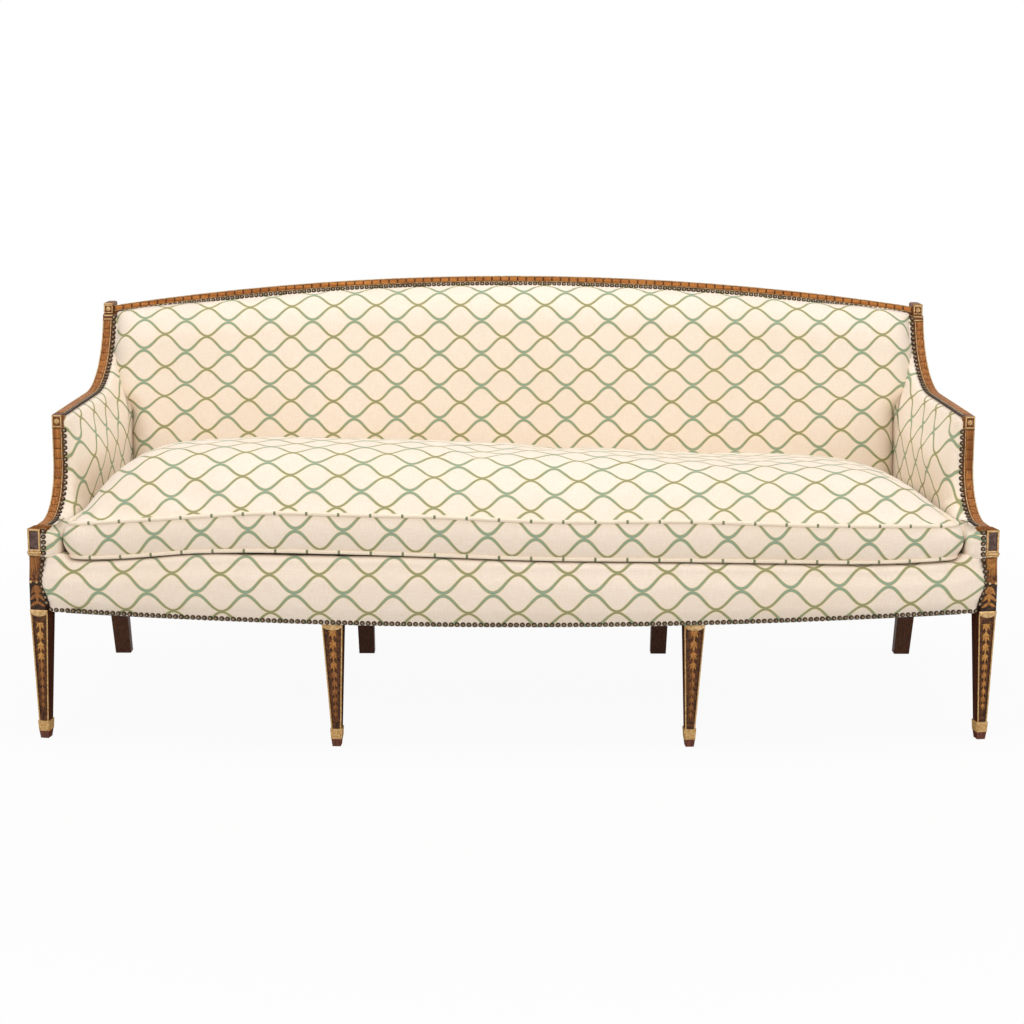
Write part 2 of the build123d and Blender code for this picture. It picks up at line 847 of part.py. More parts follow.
def outside_back():
    """Flat cover over the back of the frame."""
    half = post_inner - 1
    low = rear_rail_bottom / math.cos(lean) + 12
    drop = outside_drop
    end = arch_s(half, drop)
    top = ThreePointArc((-half, end), (0, arch_s(0, drop)), (half, end))
    rest = Polyline((half, end), (half, low), (-half, low), (-half, end))
    face = back_plane.offset(-back_thick * math.cos(lean) - play) * make_face(top + rest)
    return extrude(face, amount=-cover_thick)


def coil_spring():
    """Seat spring of a few turns."""
    low = rail_bottom + play + spring_wire
    high = rail_top - play - spring_wire
    path = Helix((high - low) / spring_turns, high - low, spring_radius)
    start = Plane(origin=path @ 0, z_dir=path % 0)
    return Pos(0, 0, low) * sweep(start * Circle(spring_wire), path=path, is_frenet=True)


def spring_places():
    """Middles of the springs in the three bays of the seat."""
    places = []
    inner = middle_leg_x - rail_thick / 2 - spring_radius - 14
    outer = middle_leg_x + rail_thick / 2 + spring_radius + 6
    end = half_chord - 2.4 * rail_thick - spring_radius - 44
    for row in range(spring_rows):
        y = 95 + row * 195.0
        for column in range(spring_columns):
            share = column / (spring_columns - 1)
            places.append((-inner + share * 2 * inner, y))
            places.append((outer + share * (end - outer), y))
            places.append((-outer - share * (end - outer), y))
    return places


def straps():
    """Webbing straps under the springs, lengthwise over crosswise."""
    lengthwise = []
    rows = sorted({y for _, y in spring_places()})
    for y in rows:
        edge = arm_x - side_rail_inset - rail_thick / 2 - math.tan(splay) * y
        lengthwise.append(span_box(
            (-edge, edge), (y - strap_wide / 2, y + strap_wide / 2),
            (rail_bottom - strap_thick, rail_bottom),
        ))
    crosswise = []
    for x in sorted({x for x, _ in spring_places()}):
        front = bow_y(x, rail_front + rail_thick / 2)
        rear = back_y(rear_rail_bottom) + back_thick / 2
        near = sag_z(max(abs(x) - strap_wide / 2, 0)) - 2 * play
        near = min(near, rear_rail_bottom)
        face = closed([
            (front, near - strap_thick), (rear, rear_rail_bottom - strap_thick),
            (rear, rear_rail_bottom), (front, near),
        ])
        crosswise.append(side_board(face, (x - strap_wide / 2, x + strap_wide / 2)))
    return lengthwise, crosswise


def dust_cover():
    """Cloth under the seat from the dipping front rail to the rear rail."""
    front = bow_y(0, rail_front)
    rear = back_y(rear_rail_bottom) - 4
    reach = arm_x - side_rail_inset - rail_thick / 2 - math.tan(splay) * rear - 10

    def strip(y, ends, middle):
        upper = ThreePointArc((-reach, ends), (0, middle), (reach, ends))
        low = ends - cloth_thick
        lower = ThreePointArc((reach, low), (0, middle - cloth_thick), (-reach, low))
        sides = Line((reach, ends), (reach, low)) + Line((-reach, low), (-reach, ends))
        return Pos(0, y, 0) * (Plane.XZ * make_face(upper + lower + sides))

    at_front = strap_thick + 4 * play
    at_rear = rear_rail_bottom - strap_thick - play
    ends = min(sag_z(reach), rear_rail_bottom) - at_front
    sheet = loft([
        strip(front, ends, sag_z(0) - at_front), strip(rear, at_rear, at_rear - play / 2)
    ], ruled=True)
    sheet = sheet & extrude(deck_plan(rail_front + 8, reach, rear), amount=far)
    leg_rear = middle_leg_front + leg_top_deep
    notch = span_box(
        (middle_leg_x - 30, middle_leg_x + 42), (middle_leg_front - 20, leg_rear + 6), (0, far)
    )
    corner = corner_place() * Box(leg_top_wide + 8, 2 * leg_top_deep + 8, far)
    for piece in (notch, corner):
        sheet = sheet - piece - mirror(piece, about=Plane.YZ)
    return sheet


def dome_nail():
    """Dome nail with its head on the working plane and a square shank under it."""
    ball = (nail_radius**2 + nail_high**2) / (2 * nail_high)
    under = Pos(0, 0, -far / 2) * Box(far, far, far)
    head = Pos(0, 0, nail_high - ball) * Sphere(ball) - under
    return head + Pos(0, 0, -nail_long / 2) * Box(nail_shank, nail_shank, nail_long)


def nails_along(path, facing, lift, skip=0.0):
    """Nails at an even pitch along a path, heads out along a direction found at each point."""
    count = int((path.length - 2 * skip) / nail_pitch)
    nail = dome_nail()
    heads = []
    for index in range(count + 1):
        share = (skip + index * (path.length - 2 * skip) / count) / path.length
        point = path @ share
        out = facing(point, path % share)
        heads.append(Plane(origin=point + out * lift, z_dir=out).location * nail)
    return heads


def front_nails():
    """Nails along the lower edge of the bowed front."""
    nail = dome_nail()
    heads = []
    seat = bow_radius
    reach = corner_turn - math.degrees((leg_top_wide / 2 + 7) / bow_radius)
    count = int(math.radians(2 * reach) * seat / nail_pitch)
    low = rail_bottom - rail_sag - 1
    shoulder = border_top - 16
    for index in range(count + 1):
        turn = math.radians(-reach + 2 * reach * index / count)
        x = seat * math.sin(turn)
        height = sag_z(x) + nail_line + 1
        share = (height - low) / (shoulder - low)
        bulge = border_crown * 4 * share * (1 - share)
        out = Vector(math.sin(turn), -math.cos(turn), 0)
        point = Vector(0, bow_centre, height) + out * (seat + bulge + play)
        heads.append(Plane(origin=point, z_dir=out).location * nail)
    return heads


def arm_nails():
    """Nails up the inner edge of the right stump, along the arm and up its sweep."""
    strip = arm_plane.offset(-member_wide + nail_radius + 0.6)
    line = stump_line(0, 50)
    front = strip * Wire([line[0], line[1], line[2]])
    arc_low = -90.0 + arm_rise
    end = sweep_stop(sweep_radius, head_bottom)
    top = strip * Wire([
        Line((stump_front, arm_top(stump_front)), sweep_point(sweep_radius, arc_low)),
        sweep_arc(sweep_radius, arc_low, end),
    ])

    def facing(point, along):
        return along.cross(arm_outward) * -1

    turn = math.radians(corner_turn)
    forward = Vector(math.sin(turn), -math.cos(turn), 0)
    inner = -leg_top_wide / 2 + 3.5
    block = Line(corner_point(inner, strip_back, moulding_top), corner_point(inner, strip_back, block_top))
    heads = nails_along(block, lambda point, along: forward, play, nail_radius)
    return heads + nails_along(front, facing, play, 6) + nails_along(top, facing, play, 7)


def crest_nails():
    """Nails along the lower edge of the show-wood of the crest rail."""
    half = post_inner - 6
    drop = crest_nail_drop
    end = arch_s(half, drop)
    line = back_plane.offset(crest_forward) * ThreePointArc(
        (-half, end), (0, arch_s(0, drop)), (half, end)
    )
    return nails_along(line, lambda point, along: back_out, play)


parts = {}


def add_pair(name, right):
    """Keeps a right-hand piece and its mirror image."""
    parts[name + "_right"] = right
    parts[name + "_left"] = mirror(right, about=Plane.YZ)


parts["front_seat_rail"] = front_seat_rail()
parts["rear_seat_rail"] = across_board(rear_rail_bottom, rail_top, (-post_inner, post_inner))
parts["back_lower_rail"] = across_board(lower_rail_low, lower_rail_high, (-post_inner, post_inner))
parts["crest_rail"] = crest_rail()
add_pair("front_leg", front_corner_leg())
add_pair("front_middle_leg", front_middle_leg())
add_pair("back_post", back_post())
add_pair("rear_inner_leg", rear_leg(rear_inner_x, rear_inner_x, rear_leg_wide))
add_pair("arm_rail", arm_rail())
add_pair("arm_stump", arm_stump())
add_pair("side_seat_rail", side_seat_rail() - parts["front_seat_rail"])
add_pair("back_upright", back_upright())
add_pair("arm_slat", arm_slat())
add_pair("seat_brace", seat_brace())


def arm_point(u, height, inside):
    """Point of the right arm by its length, height and depth inside the outer face."""
    return arm_plane.from_local_coords((u, height, -inside))


def on_back(point):
    """The point moved to the front plane of the back frame."""
    return Vector(point.X, back_y(point.Z), point.Z)


def corner_point(x, y, height):
    """Point of the right corner leg, from the middle of its front face."""
    return (corner_place() * Pos(x, y, height)).position


def frame_joints():
    """Dowelled joints of the right half: point, direction, length and the pieces joined."""
    half = member_wide / 2
    mid = back_thick / 2
    tangent = Vector(math.cos(math.radians(corner_turn)), math.sin(math.radians(corner_turn)), 0)
    radial = Vector(-math.sin(math.radians(corner_turn)), math.cos(math.radians(corner_turn)), 0)
    side = side_rail_inset + rail_thick / 2
    back = Vector(0, 1, 0)
    along = Vector(1, 0, 0)
    up = Vector(0, 0, 1)
    short = 36.0
    found = []
    for height in (rail_bottom + 18, rail_bottom + 63):
        point = corner_point(-leg_top_wide / 2, leg_top_deep - 11, height)
        found.append((point, tangent, dowel_long, ("front_seat_rail", "front_leg")))
    for height in (rail_bottom + 40, rail_bottom + 86):
        point = corner_point(-4, leg_top_deep, height)
        found.append((point, radial, short, ("side_seat_rail", "front_leg")))
        point = on_back(arm_point(back_y(height), height, side))
        found.append((point, back, short, ("side_seat_rail", "back_post")))
    for height in (rear_rail_bottom + 17, rear_rail_bottom + 64):
        point = Vector(post_inner, back_y(height) + mid, height)
        found.append((point, along, dowel_long, ("rear_seat_rail", "back_post")))
    height = crest_end - crest_board / 2
    point = Vector(post_inner, back_y(height) + 6, height)
    found.append((point, along, short, ("crest_rail", "back_post")))
    height = (lower_rail_low + lower_rail_high) / 2
    point = Vector(post_inner, back_y(height) + mid, height)
    found.append((point, along, short, ("back_lower_rail", "back_post")))
    middle = (stump_front + stump_back) / 2
    point = arm_point(middle, arm_top(middle) - arm_thick, half)
    found.append((point, up, short, ("arm_rail", "arm_stump")))
    height = heel_low + 35
    point = on_back(arm_point(back_y(height), height, half))
    found.append((point, back, short, ("arm_rail", "back_post")))
    point = arm_point(stump_front - 50, rail_top, side)
    found.append((point, up, short, ("arm_stump", "side_seat_rail")))
    height = block_top - 22
    point = corner_point(-4, leg_top_deep, height)
    found.append((point, radial, short, ("arm_stump", "front_leg")))
    depth = bow_y(middle_leg_x, rail_front + rail_thick / 2)
    point = Vector(middle_leg_x, depth, sag_z(middle_leg_x))
    found.append((point, up, short, ("front_middle_leg", "front_seat_rail")))
    point = Vector(rear_inner_x, back_y(rear_rail_bottom) + mid, rear_rail_bottom)
    found.append((point, up, short, ("rear_inner_leg", "rear_seat_rail")))
    height = rail_bottom + 25
    point = Vector(middle_leg_x, bow_y(middle_leg_x, rail_front + rail_thick), height)
    found.append((point, back, short, ("seat_brace", "front_seat_rail")))
    point = Vector(middle_leg_x, back_y(height), height)
    found.append((point, back, short, ("seat_brace", "rear_seat_rail")))
    point = Vector(upright_x, back_y(lower_rail_high) + mid, lower_rail_high)
    found.append((point, back_up, short, ("back_upright", "back_lower_rail")))
    start = Vector(0, back_base + mid, 0) + Vector(upright_x, 0, 0)
    point = start + back_up * arch_s(upright_x, crest_board)
    found.append((point, back_up, short, ("back_upright", "crest_rail")))
    height = rail_top + 32
    point = arm_point(stump_back, height, half + 3)
    found.append((point, arm_along, short, ("arm_slat", "arm_stump")))
    point = on_back(arm_point(back_y(height), height, half + 3))
    found.append((point, back, short, ("arm_slat", "back_post")))
    return found


def join(tool, names, side):
    """Cuts the hole of a dowel or screw in each piece that it holds."""
    for name in names:
        key = name + side if name + side in parts else name
        parts[key] = parts[key] - tool


pegs = []
for point, direction, length, names in frame_joints():
    right_peg = peg(point, direction, length)
    for side, tool in (("_right", right_peg), ("_left", mirror(right_peg, about=Plane.YZ))):
        join(tool, names, side)
        pegs.append(tool.solids()[0])
parts["frame_dowels"] = Compound(pegs)

block_front, block_rear = corner_block_set()
screws = []
glue_blocks = []
for block, rail, inward in ((block_front, "front_seat_rail", -1), (block_rear, "rear_seat_rail", 1)):
    box = block.bounding_box()
    middle_z = (box.min.Z + box.max.Z) / 2
    corner_y = box.max.Y if inward > 0 else box.min.Y
    fixings = []
    for into_side, height in ((True, middle_z + 8), (False, middle_z - 8)):
        reach = 24.0
        leg_off = block_leg - reach - 6
        if into_side:
            point = Vector(box.max.X - reach - 8, corner_y - inward * leg_off, height)
            fixings.append((screw(point, (1, 0, 0), screw_long), "side_seat_rail", point, Vector(1, 0, 0)))
        else:
            point = Vector(box.max.X - leg_off, corner_y - inward * (reach + 8), height)
            out = Vector(0, inward, 0)
            fixings.append((screw(point, (0, inward, 0), screw_long), rail, point, out))
    for tool, name, point, out in fixings:
        pocket = Pos(0, 0, pocket_deep / 2) * Cylinder(screw_head + play, pocket_deep)
        block = block - tool - Plane(origin=point - out * pocket_deep, z_dir=out).location * pocket
        for side, fixing in (("_right", tool), ("_left", mirror(tool, about=Plane.YZ))):
            join(fixing, (name,), side)
            screws.append(fixing.solids()[0])
    glue_blocks += [block.solids()[0], mirror(block, about=Plane.YZ).solids()[0]]
parts["corner_blocks"] = Compound(glue_blocks)
parts["corner_block_screws"] = Compound(screws)

pad, cover = front_border()
parts["front_border_pad"] = pad
parts["front_border_cover"] = cover
parts["spring_canvas"] = spring_canvas()
deck_rear = back_y(canvas_top) - 2
parts["deck_pad"] = deck_layer(None, 0, arm_zone_x - 2, deck_rear, edge_roll + 1)
parts["deck_cloth"] = deck_layer(play, play + cloth_thick, arm_zone_x - 2, deck_rear, edge_roll + 1)
stuffing, skin = inside_back()
parts["inside_back_pad"] = stuffing
parts["inside_back_cover"] = skin
arm_stuffing, arm_skin = inside_arm()
add_pair("inside_arm_pad", arm_stuffing)
add_pair("inside_arm_cover", arm_skin)
add_pair("outside_arm_cover", outside_arm())
parts["outside_back_cover"] = outside_back()
parts["dust_cover"] = dust_cover()

parts["cushion_fill"] = cushion_form(cover_thick + play)
parts["cushion_cover"] = cushion_form(0) - cushion_form(cover_thick)
parts["cushion_welt_bottom"] = welt(seam_low)
parts["cushion_welt_top"] = welt(seam_high)

spring = coil_spring()
parts["seat_springs"] = Compound([(Pos(x, y, 0) * spring).solids()[0] for x, y in spring_places()])
lengthwise, crosswise = straps()
parts["webbing_lengthwise"] = Compound([s.solids()[0] for s in lengthwise])
parts["webbing_crosswise"] = Compound([s.solids()[0] for s in crosswise])
parts["nails_front"] = Compound([n.solids()[0] for n in front_nails()])
parts["nails_crest"] = Compound([n.solids()[0] for n in crest_nails()])
add_pair("nails_arm", Compound([n.solids()[0] for n in arm_nails()]))


# Depths are centred on the whole sofa
front_reach = front_setback - bow_depth - border_crown
cover_reach = (back_thick * math.cos(lean) + play + cover_thick) * math.cos(lean)
rear_reach = max(
    rear_foot_front + rear_foot_deep,
    back_base + (crest_s - outside_drop) * math.sin(lean) + cover_reach,
)
middle_y = (front_reach + rear_reach) / 2

os.makedirs("parts", exist_ok=True)
for name, shape in parts.items():
    export_step(Pos(0, -middle_y, 0) * shape, f"parts/{name}.step")
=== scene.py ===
import math
import random
import bpy
import numpy as np
from mathutils import Matrix, Vector, noise


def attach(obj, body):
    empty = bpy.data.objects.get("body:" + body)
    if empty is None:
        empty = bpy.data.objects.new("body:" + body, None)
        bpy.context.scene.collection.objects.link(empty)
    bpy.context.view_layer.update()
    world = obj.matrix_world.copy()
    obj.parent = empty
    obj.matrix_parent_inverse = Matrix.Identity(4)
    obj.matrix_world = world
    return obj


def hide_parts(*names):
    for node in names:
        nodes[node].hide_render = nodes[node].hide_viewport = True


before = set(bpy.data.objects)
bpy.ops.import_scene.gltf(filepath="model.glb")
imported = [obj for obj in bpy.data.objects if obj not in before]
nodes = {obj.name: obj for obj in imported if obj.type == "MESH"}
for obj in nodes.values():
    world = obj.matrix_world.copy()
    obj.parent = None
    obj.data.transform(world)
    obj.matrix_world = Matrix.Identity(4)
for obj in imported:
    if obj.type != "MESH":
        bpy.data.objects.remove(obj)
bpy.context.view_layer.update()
scene = bpy.context.scene
MM = 0.001

# Sizes of the sofa in millimetres, as in its solids
HALF_CHORD = 961.0
BOW_DEPTH = 80.0
FRONT_SETBACK = 6.0
RAIL_BOTTOM = 272.0
RAIL_SAG = 13.0
LEG_X = 980.0
LEG_TOP_WIDE = 37.0
LEG_TOP_DEEP = 40.0
BLOCK_WIDE = 27.0
BLOCK_TOP = 446.0
MIDDLE_LEG_X = 365.0
MIDDLE_LEG_FRONT = -57.0
ARM_X = 990.0
ARM_SPLAY = math.radians(3.0)
MEMBER_WIDE = 28.0
STUMP_FRONT = 190.0
STUMP_BACK = 228.0
STUMP_RADIUS = 110.0
ARM_HEIGHT = 655.0
ARM_THICK = 26.0
ARM_RISE = math.radians(2.0)
SWEEP_RADIUS = 195.0
SWEEP_FOOT = 480.0
POST_INNER = 918.0
POST_OUTER = 956.0
HEAD_INNER = 933.0
HEAD_TOP = 851.0
HEAD_FORWARD = 26.0
CREST_BOARD = 44.0
CREST_THICK = 40.0
REAR_LEG_X = 943.0
REAR_FOOT_WIDE = 37.0
REAR_FOOT_FRONT = 713.0
REAR_FOOT_DEEP = 30.0
BACK_BASE = 573.0
BACK_SLOPE = 0.153
BACK_THICK = 32.0
HEAD_BOTTOM = 825.0
CREST_HEIGHT = 911.0
CREST_END = 844.0
CREST_FORWARD = 18.0
CREST_NAIL_DROP = 18.0
OUTSIDE_DROP = 12.0
REAR_RAIL_BOTTOM = 268.0
SIDE_RAIL_INSET = 4.0
BORDER_TOP = 386.0
BORDER_CROWN = 6.0
EDGE_ROLL = 62.0
DECK_END = 385.0
DECK_CROWN = 10.0
BACK_PAD = 84.0
BACK_PAD_TOP = 26.0
CUSHION_HALF = 915.0
CUSHION_HALF_BACK = 877.0
CUSHION_FRONT_GAP = 12.0
CUSHION_REAR = 539.9
CORNER_ROUND = 26.0
WELT_RADIUS = 4.5
COVER_THICK = 1.6
NAIL_RADIUS = 5.2
NAIL_HIGH = 3.2
NAIL_PITCH = 12.0
NAIL_LINE = 3.8
CREST_NAIL_PITCH = 11.2
STRIP_COVER = 8.5
NECK_COVER = 5.5
TURNED_UP = 4.2
UNDER_ARM = 46.0
HUB_DEEP = 45.6
ARM_HUB = (520.0, 470.0)
OUTER_HUB = (420.0, 366.0)
ARM_PUFF = 22.0
BORDER_SHOULDER = 16.0
BACK_ROLL = 95.0
RAIL_FRONT = 11.6
TACKING = 15.0
BRACE_HALF = 15.0
STRAP_WIDE = 50.0
SPRING_RADIUS = 36.0
SPRING_FIRST = 95.0
SPRING_STEP = 195.0
SHAFT_FOOT = 38.0
BLOCK_PITCH = 20.0
SIDES = ((-1, "left"), (1, "right"))

BOW_RADIUS = (HALF_CHORD**2 + BOW_DEPTH**2) / (2 * BOW_DEPTH)
BOW_CENTRE = FRONT_SETBACK - BOW_DEPTH + BOW_RADIUS
SAG_RADIUS = (HALF_CHORD**2 + RAIL_SAG**2) / (2 * RAIL_SAG)
CORNER_TURN = math.asin(LEG_X / BOW_RADIUS)
LEAN = math.atan(BACK_SLOPE)
CREST_S = CREST_HEIGHT / math.cos(LEAN)
ARCH_RISE = (CREST_HEIGHT - CREST_END) / math.cos(LEAN)
ARCH_RADIUS = (POST_INNER**2 + ARCH_RISE**2) / (2 * ARCH_RISE)
COVER_REACH = (BACK_THICK * math.cos(LEAN) + 0.3 + COVER_THICK) * math.cos(LEAN)
FRONT_REACH = FRONT_SETBACK - BOW_DEPTH - BORDER_CROWN
REAR_FOOT_BACK = REAR_FOOT_FRONT + REAR_FOOT_DEEP
REAR_REACH = max(REAR_FOOT_BACK, BACK_BASE + (CREST_S - OUTSIDE_DROP) * math.sin(LEAN) + COVER_REACH)
MIDDLE_Y = (FRONT_REACH + REAR_REACH) / 2

# The trellis repeats at this width and height on the flat cloth
REPEAT_WIDE = 100.0
REPEAT_HIGH = 80.0
WAVE_SHARE = 0.446
LINEN_THREAD = 0.0011
TICK_PITCH = 65.0

# Where the trellis starts on each piece, in millimetres of cloth
BORDER_START, BORDER_REPEAT = (59.4, 84.4), (100.9, 80.0)
BACK_START, BACK_REPEAT = (17.5, -126.0), (97.6, 75.5)
ARM_START, ARM_REPEAT = {-1: (-419.0, 595.0), 1: (407.0, 605.0)}, (97.0, 85.5)
TOP_START, TOP_REPEAT = (-23.5, 60.8), (98.5, 76.5)
BOX_START, BOX_REPEAT = (36.0, -34.0), (97.4, 80.0)

# Heights of the seams of the loose cushion along its front, read off
TOP_SEAM = (
    (-915, 454), (-740, 470), (-470, 489), (-350, 487), (-150, 484), (40, 476), (375, 473), (630, 461),
    (760, 457), (915, 453),
)
LOW_SEAM = (
    (-915, 384), (-850, 386), (-780, 392), (-660, 405), (-530, 410), (-400, 410), (-205, 407), (50, 399),
    (310, 395), (560, 388), (740, 382), (815, 382), (915, 386),
)
CROWN_LINE = (
    (-915, 596), (-700, 597), (-370, 596), (-240, 593), (0, 582), (170, 574), (305, 565.5), (440, 558),
    (570, 554.5), (744, 550), (915, 547),
)

# Settling of the top of the cushion
SIM_FRAMES = 12
SIM_PRESSURE = 0.14
SIM_CAP = 6.0


def smooth(low, high, value):
    """Smooth step from 0 at low to 1 at high."""
    share = np.clip((np.asarray(value, float) - low) / (high - low), 0.0, 1.0)
    return share * share * (3 - 2 * share)


def sag_z(x):
    """Lower edge of the front rail at a width."""
    return RAIL_BOTTOM - RAIL_SAG + SAG_RADIUS - np.sqrt(SAG_RADIUS**2 - np.asarray(x) ** 2)


def bow_y(x, inset=0.0):
    """Depth of the bowed front at a width."""
    return BOW_CENTRE - np.sqrt((BOW_RADIUS - inset) ** 2 - np.asarray(x) ** 2)


def back_y(height):
    """Depth of the front face of the back frame at a height."""
    return BACK_BASE + BACK_SLOPE * height


def arm_top(u):
    """Height of the top of the arm in front of its sweep."""
    return ARM_HEIGHT + math.tan(ARM_RISE) * (u - STUMP_FRONT)


SWEEP_U = SWEEP_FOOT - SWEEP_RADIUS * math.sin(ARM_RISE)
SWEEP_Z = arm_top(SWEEP_FOOT) + SWEEP_RADIUS * math.cos(ARM_RISE)
STUMP_U = STUMP_FRONT - STUMP_RADIUS
STUMP_Z = BLOCK_TOP + STUMP_RADIUS


def arm_points(u, z, inward, side):
    """Points of an arm from its length, height and depth inward from its outer face."""
    x = ARM_X - math.sin(ARM_SPLAY) * u - math.cos(ARM_SPLAY) * inward
    d = math.cos(ARM_SPLAY) * u - math.sin(ARM_SPLAY) * inward
    return np.stack([side * x, d, np.broadcast_to(z, np.shape(x))], axis=-1)


def back_points(x, up, forward):
    """Points of the back from the width, the way up its slope and the way forward of it."""
    d = BACK_BASE + up * math.sin(LEAN) - forward * math.cos(LEAN)
    z = up * math.cos(LEAN) + forward * math.sin(LEAN)
    return np.stack(np.broadcast_arrays(x, d, z), axis=-1)


def arch_s(x, drop=0.0):
    """Way up the back of the arched line at a width, moved down by a drop."""
    return CREST_S - ARCH_RADIUS + np.sqrt((ARCH_RADIUS - drop) ** 2 - np.asarray(x) ** 2)


def keyed(keys, x):
    """Smooth line through a few keyed heights."""
    at = np.array([key[0] for key in keys], float)
    value = np.array([key[1] for key in keys], float)
    slope = np.gradient(value, at)
    x = np.clip(x, at[0], at[-1])
    spot = np.clip(np.searchsorted(at, x) - 1, 0, len(at) - 2)
    wide = at[spot + 1] - at[spot]
    t = (x - at[spot]) / wide
    return (
        (2 * t**3 - 3 * t**2 + 1) * value[spot] + (t**3 - 2 * t**2 + t) * wide * slope[spot]
        + (3 * t**2 - 2 * t**3) * value[spot + 1] + (t**3 - t**2) * wide * slope[spot + 1]
    )


def to_row(points):
    """Millimetres from the corner legs to metres in the shared frame."""
    moved = np.asarray(points, float).reshape(-1, 3) - np.array([0.0, MIDDLE_Y, 0.0])
    return moved * MM


def grid_faces(rows, cols, closed=False):
    """Quads of a grid of points stored row by row, its rows open or closed."""
    faces = []
    for r in range(rows - 1):
        for c in range(cols if closed else cols - 1):
            a = r * cols + c
            b = r * cols + (c + 1) % cols
            faces.append((a, b, b + cols, a + cols))
    return faces


def dome_faces(rings, count):
    """Faces of closed rings of points, one inside the other, and of a last point in their middle."""
    last = (rings - 1) * count
    fan = [(last + c, last + (c + 1) % count, rings * count) for c in range(count)]
    return grid_faces(rings, count, True) + fan


def flipped(faces):
    """Faces that look the other way."""
    return [tuple(reversed(face)) for face in faces]


def mirrored(faces, side):
    """Faces of a form that is laid out for the right side."""
    return faces if side > 0 else flipped(faces)


def moved(faces, base):
    """Faces whose points are numbered from a base."""
    return [tuple(base + i for i in face) for face in faces]


def run_lengths(points, axis=0):
    """Length along runs of points, from the start of each."""
    steps = np.linalg.norm(np.diff(points, axis=axis), axis=-1)
    start = np.zeros_like(np.take(steps, [0], axis=axis))
    return np.concatenate([start, np.cumsum(steps, axis=axis)], axis=axis)


def arc(centre, radius, first, last, count):
    """Points of an arc from one angle to another, in degrees."""
    bends = [math.radians(angle) for angle in np.linspace(first, last, count)]
    return [(centre[0] + radius * math.cos(bend), centre[1] + radius * math.sin(bend)) for bend in bends]


def on_cloth(across, along, start, repeat):
    """Cloth coordinates that put a meeting of the trellis lines at a start, at its own repeat."""
    wide = (across - start[0]) * REPEAT_WIDE / repeat[0]
    high = (along - start[1]) * REPEAT_HIGH / repeat[1]
    return np.stack([wide, high], axis=-1)


def add_piece(name, points, faces, material, uv=None, body="frame", replaced=(), flat=False):
    """One mesh piece in the shared frame, with cloth coordinates in metres."""
    mesh = bpy.data.meshes.new(name)
    mesh.from_pydata(to_row(points).tolist(), [], faces)
    if uv is not None:
        layer = mesh.uv_layers.new(name="cloth")
        index = np.empty(len(mesh.loops), dtype=np.int32)
        mesh.loops.foreach_get("vertex_index", index)
        spread = (np.asarray(uv, float).reshape(-1, 2) * MM)[index]
        layer.data.foreach_set("uv", spread.ravel())
    mesh.polygons.foreach_set("use_smooth", [not flat] * len(mesh.polygons))
    mesh.materials.append(material)
    mesh.update()
    obj = bpy.data.objects.new(name, mesh)
    scene.collection.objects.link(obj)
    if replaced:
        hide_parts(*replaced)
    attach(obj, body)
    return obj


# Materials
def linear(red, green, blue):
    """A colour given in screen values, as the shaders need it."""
    values = []
    for value in (red, green, blue):
        share = value / 255
        values.append(share / 12.92 if share < 0.04045 else ((share + 0.055) / 1.055) ** 2.4)
    return (*values, 1.0)


